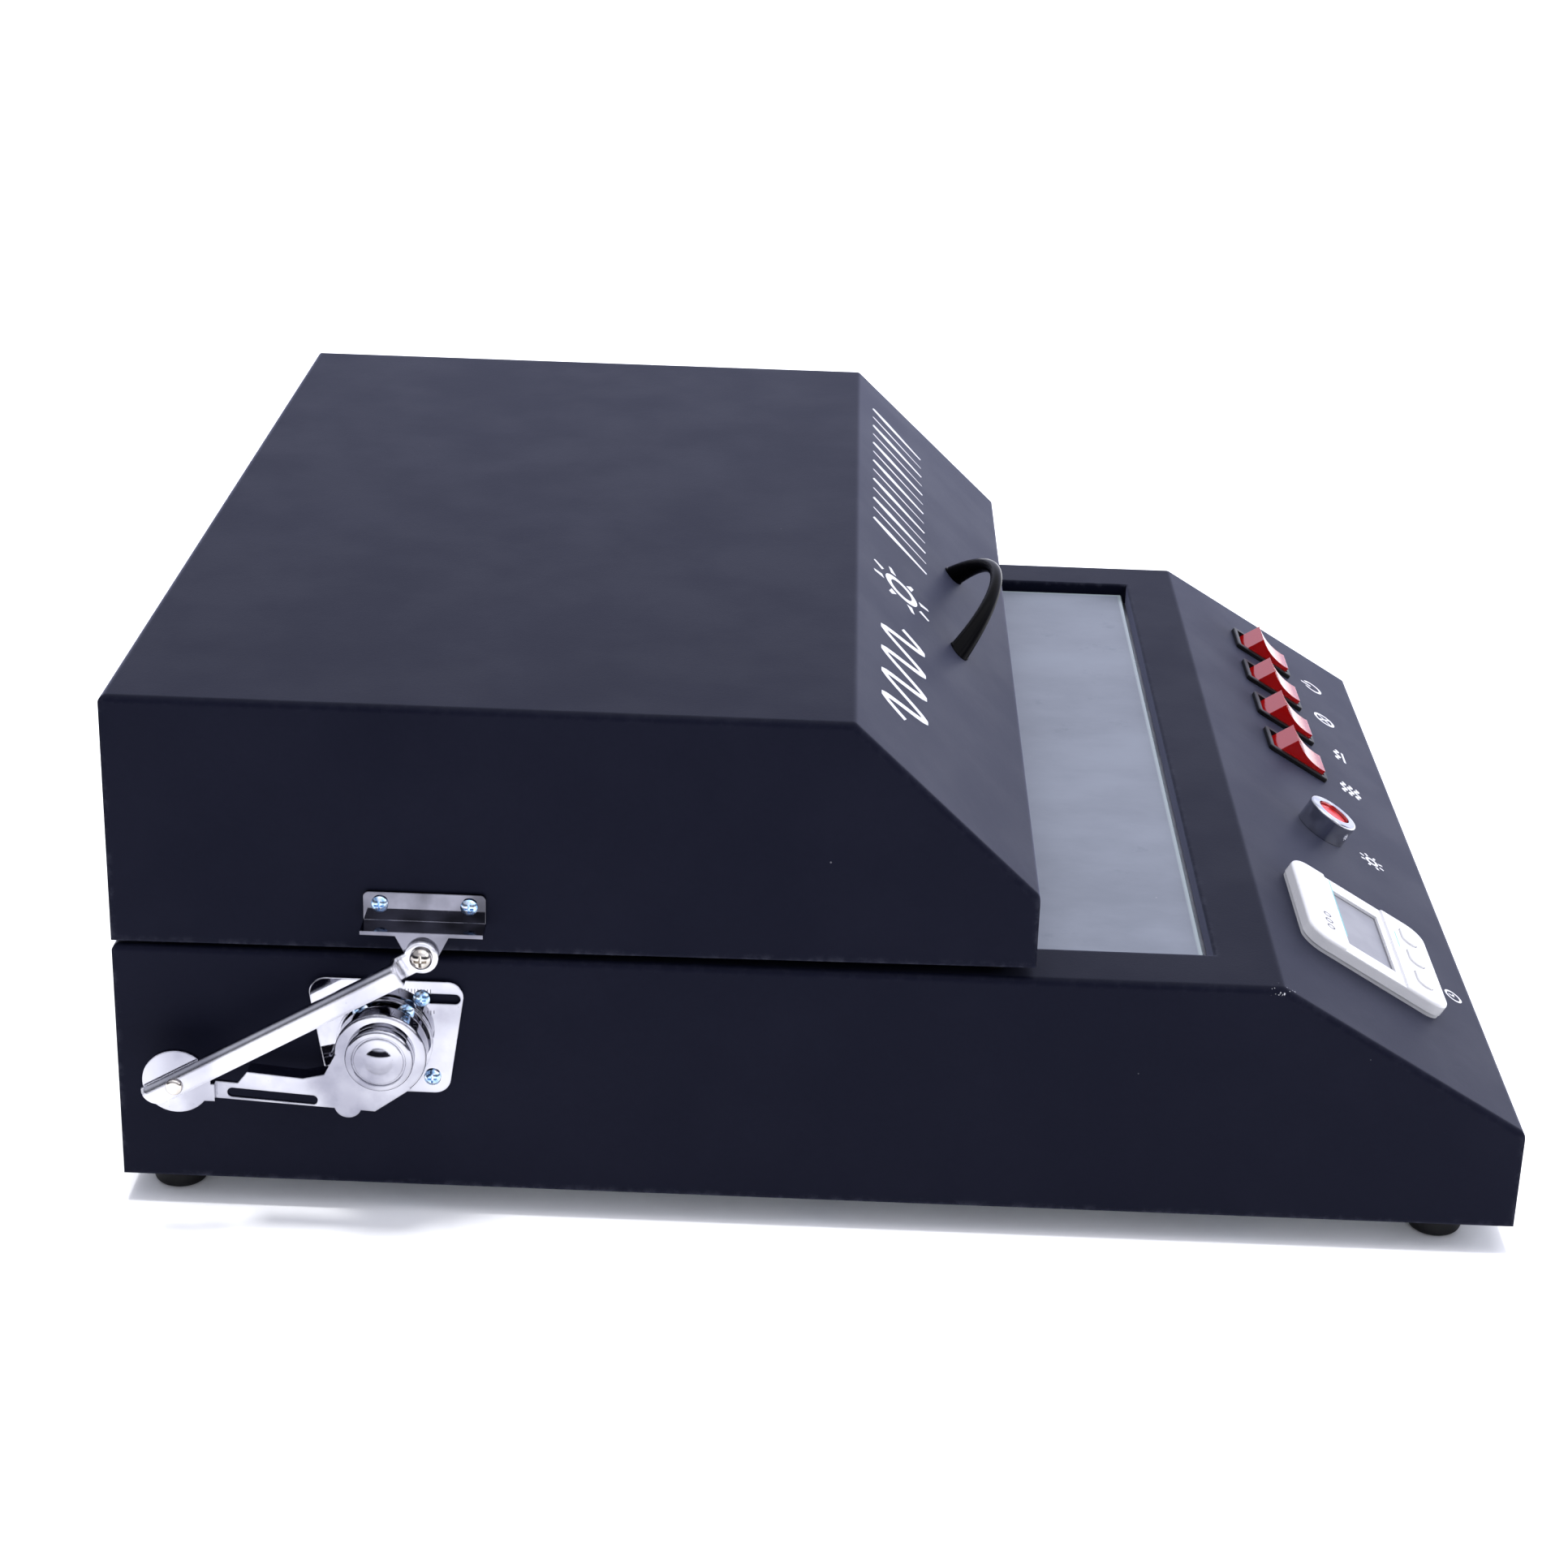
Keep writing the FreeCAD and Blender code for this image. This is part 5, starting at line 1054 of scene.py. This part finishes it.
@dataclass
class SwitchRow(Assembly):
    """Four red rockers and the pictograms in front of them."""

    name: str = "switch row"
    mark_size: float = 12 * MM
    mark_drop: float = 30 * MM

    def dress(self) -> None:
        """Black frames and red rockers."""
        for mark in SWITCH_MARKS:
            dress(BLACK_PLASTIC, mark.value + "_switch_body")
            dress(ROCKER_RED, mark.value + "_rocker")

    def build(self) -> None:
        """Print one pictogram in front of each switch."""
        face = Face.on("base_housing", PANEL_WAY)
        for mark in SWITCH_MARKS:
            right, up = face.find(middle(mark.value + "_rocker"))
            stencil = Stencil(face)
            mark.draw(stencil, (right, up - self.mark_drop), self.mark_size)
            stencil.done(mark.value + "_mark", "base", WHITE_INK)


@dataclass
class PilotLight(Assembly):
    """The red pilot light in its chromed bezel."""

    name: str = "pilot light"
    mark_size: float = 12 * MM
    mark_drop: float = 27 * MM

    def dress(self) -> None:
        """Chrome the bezel and nut, redden the lens."""
        dress(BEZEL, "indicator_bezel", "indicator_nut")
        dress(LENS_RED, "indicator_lens")

    def build(self) -> None:
        """Print the pilot light's pictogram."""
        face = Face.on("base_housing", PANEL_WAY)
        right, up = face.find(middle("indicator_lens"))
        stencil = Stencil(face)
        Mark.PILOT.draw(stencil, (right, up - self.mark_drop), self.mark_size)
        stencil.done("pilot_mark", "base", WHITE_INK)


@dataclass
class Timer(Assembly):
    """The magnetic timer: case, display, buttons and its printed lines."""

    name: str = "timer"
    mark_size: float = 8.5 * MM
    mark_drop: float = 47 * MM
    mark_shift: float = 6 * MM
    film: float = 0.04 * MM
    line_width: float = 0.40 * MM
    line_place: float = 0.58
    front_line_gap: float = 6.6 * MM
    ring_radius: float = 1.5 * MM
    ring_width: float = 0.7 * MM
    window_edge: float = 2.0 * MM
    border: float = 0.9 * MM

    def dress(self) -> None:
        """White case and buttons, grey back and display."""
        dress(TIMER_WHITE, "timer_case", "timer_button_left", "timer_button_middle", "timer_button_right")
        dress(TIMER_GREY, "timer_back")
        dress(DisplayGlass("display_grey"), "timer_display")

    def build(self) -> None:
        """Print the clock beside the timer, its coloured lines and the display's border."""
        panel = Face.on("base_housing", PANEL_WAY)
        right, up = panel.find(middle("timer_case"))
        stencil = Stencil(panel)
        Mark.CLOCK.draw(stencil, (right + self.mark_shift, up - self.mark_drop), self.mark_size)
        stencil.done("clock_mark", "base", WHITE_INK)
        self.lines()
        self.display_border()

    def lines(self) -> None:
        """Thin coloured lines and three rings on the raised ends of the case."""
        face = Face.on("timer_case", PANEL_WAY)
        right, _ = face.find(middle("timer_case"))
        _, display_up = face.find(middle("timer_display"))
        _, button_up = face.find(middle("timer_button_middle"))
        half = (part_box("timer_case")[1].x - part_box("timer_case")[0].x) / 2
        rear = display_up * self.line_place
        front = button_up + self.front_line_gap
        teal = Stencil(face, self.film)
        teal.bar((right - half * 0.62, rear), (right + half * 0.86, rear), self.line_width)
        teal.bar((right + half * 0.10, front), (right + half * 0.5, front), self.line_width)
        teal.done("timer_teal_lines", "base", TEAL_INK)
        dots = Stencil(face, self.film)
        for i in range(3):
            centre = (right - half * (0.62 - 0.16 * i), rear * 0.55)
            dots.arc(centre, self.ring_radius, self.ring_width)
        dots.done("timer_ring_marks", "base", GREY_INK)

    def display_border(self) -> None:
        """A dark printed border just inside the display's window."""
        face = Face.on("timer_display", PANEL_WAY)
        right, up = face.find(middle("timer_display"))
        low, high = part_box("timer_display")
        half = (high.x - low.x) / 2 - self.window_edge
        tall = abs(up) - self.window_edge
        stencil = Stencil(face)
        outer, inner = (
            [(right + i * (half - inset), up + j * (tall - inset)) for i, j in CORNERS]
            for inset in (0.0, self.border)
        )
        stencil.ribbon(outer, inner, True)
        stencil.done("timer_display_border", "base", GREY_INK)


@dataclass
class Lid(Assembly):
    """The painted lid with its liner, bumpers, handle and printed band."""

    name: str = "lid"
    band_top: float = 9 * MM
    band_height: float = 32 * MM
    film: float = 0.06 * MM
    wave_from: float = -186 * MM
    wave_length: float = 98 * MM
    wave_rise: float = 11 * MM
    wave_width: float = 3.6 * MM
    sun_place: float = -40 * MM
    sun_radius: float = 7.6 * MM
    sun_line: float = 3.2 * MM
    strokes_from: float = 14.0
    stroke_pitch: float = 14.2
    stroke_count: int = 13
    broad: float = 5.2 * MM
    narrow: float = 2.2 * MM
    slant: float = 9 * MM
    neck: float = 0.7

    def dress(self) -> None:
        """Paint the lid and dress what it carries."""
        dress(PowderCoat("lid_paint"), "lid_shell")
        dress(ALUMINIUM, "lid_reflector")
        dress(RUBBER, "lid_bumpers")
        dress(HANDLE_BLACK, "lid_handle")
        dress(ZINC, "handle_screws", "lid_screws")

    def build(self) -> None:
        """Print the band on the slope: ripples, a sun and a row of slanted strokes."""
        face = Face.on("lid_shell", SLOPE_WAY)
        stencil = Stencil(face, self.film)
        low = -self.band_top - self.band_height
        centre = low + self.band_height / 2
        stencil.wave((self.wave_from, centre), self.wave_length, self.wave_rise, 4, self.wave_width)
        sun = (self.sun_place, centre)
        stencil.arc(sun, self.sun_radius, self.sun_line)
        stencil.rays(sun, 11.6 * MM, 17 * MM, 8, self.sun_line, 1.8 * MM)
        for i in range(self.stroke_count):
            start = (self.strokes_from + self.stroke_pitch * i) * MM
            self.stroke(stencil, start, low, self.narrow if i % 2 else self.broad)
        stencil.done("lid_band", "lid", WHITE_INK)

    def stroke(self, stencil: Stencil, start: float, low: float, width: float) -> None:
        """One slanted stroke that is widest in its upper part.

        Args:
            stencil: where it goes.
            start: how far right it starts.
            low: height of its foot.
            width: its greatest width.
        """
        broadest = (start + self.slant * self.neck, low + self.band_height * self.neck)
        stencil.bar((start, low), broadest, width * 0.35, width)
        stencil.bar(broadest, (start + self.slant, low + self.band_height), width, width * 0.6)


class Side(Enum):
    """Which side of the box a stay is on."""

    LEFT = "left"
    RIGHT = "right"

    @property
    def way(self) -> Colour:
        """The outward direction of this side."""
        return (-1.0, 0.0, 0.0) if self is Side.LEFT else (1.0, 0.0, 0.0)


@dataclass
class Stay(Assembly):
    """One chromed lid stay."""

    name: str = "stay"
    side: Side = Side.LEFT
    film: float = 0.03 * MM
    tick_from: float = 4.6 * MM
    tick_pitch: float = 1.15 * MM
    tick_count: int = 11
    tick_width: float = 0.28 * MM

    def node(self, piece: str) -> str:
        """Name of one of the stay's nodes."""
        return "stay_" + self.side.value + "_" + piece

    def dress(self) -> None:
        """Chrome the stay, the upper arm in a lighter chrome and the bracket in a darker one, both painted
        reflection brightness, and give its pivots nickel.
        """
        dress(CHROME, *map(self.node, ("plate", "drum", "lower_arm")))
        dress(BRIGHT_PAINTED_ARM_CHROME, self.node("upper_arm"))
        dress(DARK_PAINTED_BRACKET_CHROME, self.node("bracket"))
        dress(NICKEL, self.node("rivet"), "stay_pivot_screws")

    def build(self) -> None:
        """Lay the setting scale above and below the slot in the plate as dark grey strokes: painted shade
        standing for its engraved ticks.
        """
        face = Face.on(self.node("plate"), self.side.way)
        forward = -face.across.y / abs(face.across.y)
        # dark grey ink strokes: painted shade of the engraved ticks
        groove_shade_ticks = Stencil(face, self.film)
        rows = ((-3.2 * MM, 0, self.tick_count), (-11.6 * MM, 4, self.tick_count + 1))
        for rise, first, end in rows:
            for i in range(first, end):
                right = forward * (self.tick_from + i * self.tick_pitch)
                reach = (1.3 if i % 5 else 1.9) * MM
                groove_shade_ticks.bar((right, rise - reach), (right, rise), self.tick_width)
        groove_shade_ticks.done(self.node("scale"), "base", GREY_INK)


# ---- studio -------------------------------------------------------------------------
@dataclass
class Studio:
    """Pale table, soft lights, plain surroundings and the camera."""

    camera_place: Colour = (-1.2453, 0.0018, 0.5946)
    azimuth: float = -89.29
    elevation: float = 22.45
    roll: float = 1.88
    lens: float = 71.52
    table_size: float = 40.0

    def build(self) -> None:
        """Set up everything around the box."""
        scene = bpy.context.scene
        scene.view_settings.view_transform = "Standard"
        scene.view_settings.look = "None"
        table = self.table()
        self.surroundings()
        self.lights(table)
        self.camera()

    def table(self) -> bpy.types.Object:
        """A wide table top just under the feet, staged so it isn't part of the box.

        Returns:
            The table top.
        """
        half = self.table_size / 2
        mesh = bpy.data.meshes.new("table_top")
        mesh.from_pydata([(i * half, j * half, 0.0) for i, j in CORNERS], [], [(0, 1, 2, 3)])
        table = bpy.data.objects.new("table_top", mesh)
        bpy.context.scene.collection.objects.link(table)
        mesh.materials.append(Backdrop("table_white").make())
        return table

    def surroundings(self) -> None:
        """A room that is bright and bluish beyond the box, and dark on the near side."""
        graph = Graph.world("room")
        toward_x, along_y, height = graph.split(graph.node("ShaderNodeTexCoord", output="Generated"))
        beyond = graph.ramp(
            toward_x * 0.5 + 0.5,
            (0.0, (0.012, 0.012, 0.018)),
            (0.36, (0.035, 0.036, 0.050)),
            (0.62, (0.30, 0.31, 0.40)),
            (0.86, (0.70, 0.73, 0.95)),
            (1.0, (0.84, 0.87, 1.10)),
        )
        room = graph.mix(height.step(0.34, 0.50), beyond, (0.80, 0.82, 0.93))
        graph.finish(Color=room, Strength=1.3 - along_y * 0.7)

    def lights(self, table: bpy.types.Object) -> None:
        """A broad lamp overhead, a weak fill, and a lamp that only brightens the table.

        Args:
            table: the table top.
        """
        self.panel_light("overhead", (0.0, -0.2, 2.1), (0.0, 0.0, 0.0), 2.2, 20.0)
        self.panel_light("front_fill", (-0.9, -2.0, 1.3), (0.0, 0.0, 0.1), 0.9, 5.0)
        data = bpy.data.lights.new("table_lamp", "SUN")
        data.energy = 2.8
        data.angle = math.radians(12.0)
        lamp = bpy.data.objects.new("table_lamp", data)
        bpy.context.scene.collection.objects.link(lamp)
        only_table = bpy.data.collections.new("lit_by_table_lamp")
        only_table.objects.link(table)
        lamp.light_linking.receiver_collection = only_table

    @staticmethod
    def panel_light(name: str, place: Colour, aim: Colour, size: float, power: float) -> None:
        """A square panel light.

        Args:
            name: its name.
            place: where it hangs.
            aim: the point that it faces.
            size: length of its side.
            power: its power in watts.
        """
        data = bpy.data.lights.new(name, "AREA")
        data.size = size
        data.energy = power
        lamp = bpy.data.objects.new(name, data)
        lamp.location = place
        lamp.rotation_euler = (Vector(aim) - Vector(place)).to_track_quat("-Z", "Y").to_euler()
        bpy.context.scene.collection.objects.link(lamp)

    def camera(self) -> None:
        """The camera, looking along its azimuth and elevation with a slight roll."""
        turn = math.radians(self.azimuth)
        lift = math.radians(self.elevation)
        roll = math.radians(self.roll)
        ahead = Vector((-math.sin(turn) * math.cos(lift), math.cos(turn) * math.cos(lift), -math.sin(lift)))
        right = ahead.cross(Vector((0.0, 0.0, 1.0))).normalized()
        up = right.cross(ahead)
        side = right * math.cos(roll) + up * math.sin(roll)
        top = up * math.cos(roll) - right * math.sin(roll)
        data = bpy.data.cameras.new("camera")
        data.lens = self.lens
        data.sensor_width = 36.0
        data.clip_end = 50.0
        camera = bpy.data.objects.new("camera", data)
        basis = Matrix((side, top, -ahead)).transposed().to_4x4()
        camera.matrix_world = Matrix.Translation(self.camera_place) @ basis
        bpy.context.scene.collection.objects.link(camera)
        bpy.context.scene.camera = camera


# ---- making -------------------------------------------------------------------------
def write_sizes() -> None:
    bpy.context.view_layer.update()


def main() -> None:
    """Build every sub-assembly in order, then the studio."""
    logging.basicConfig(level=logging.INFO, format="%(name)s: %(message)s")
    assemblies: list[Assembly] = [
        Housing(), WorkPlate(), LampBank(), RearFittings(), SwitchRow(), PilotLight(), Timer(), Lid(),
        Stay("left stay", Side.LEFT), Stay("right stay", Side.RIGHT),
    ]
    for assembly in assemblies:
        assembly.dress()
        assembly.build()
        LOG.info("finished the %s", assembly.name)
    Studio().build()
    write_sizes()


if __name__ == "__main__":
    main()
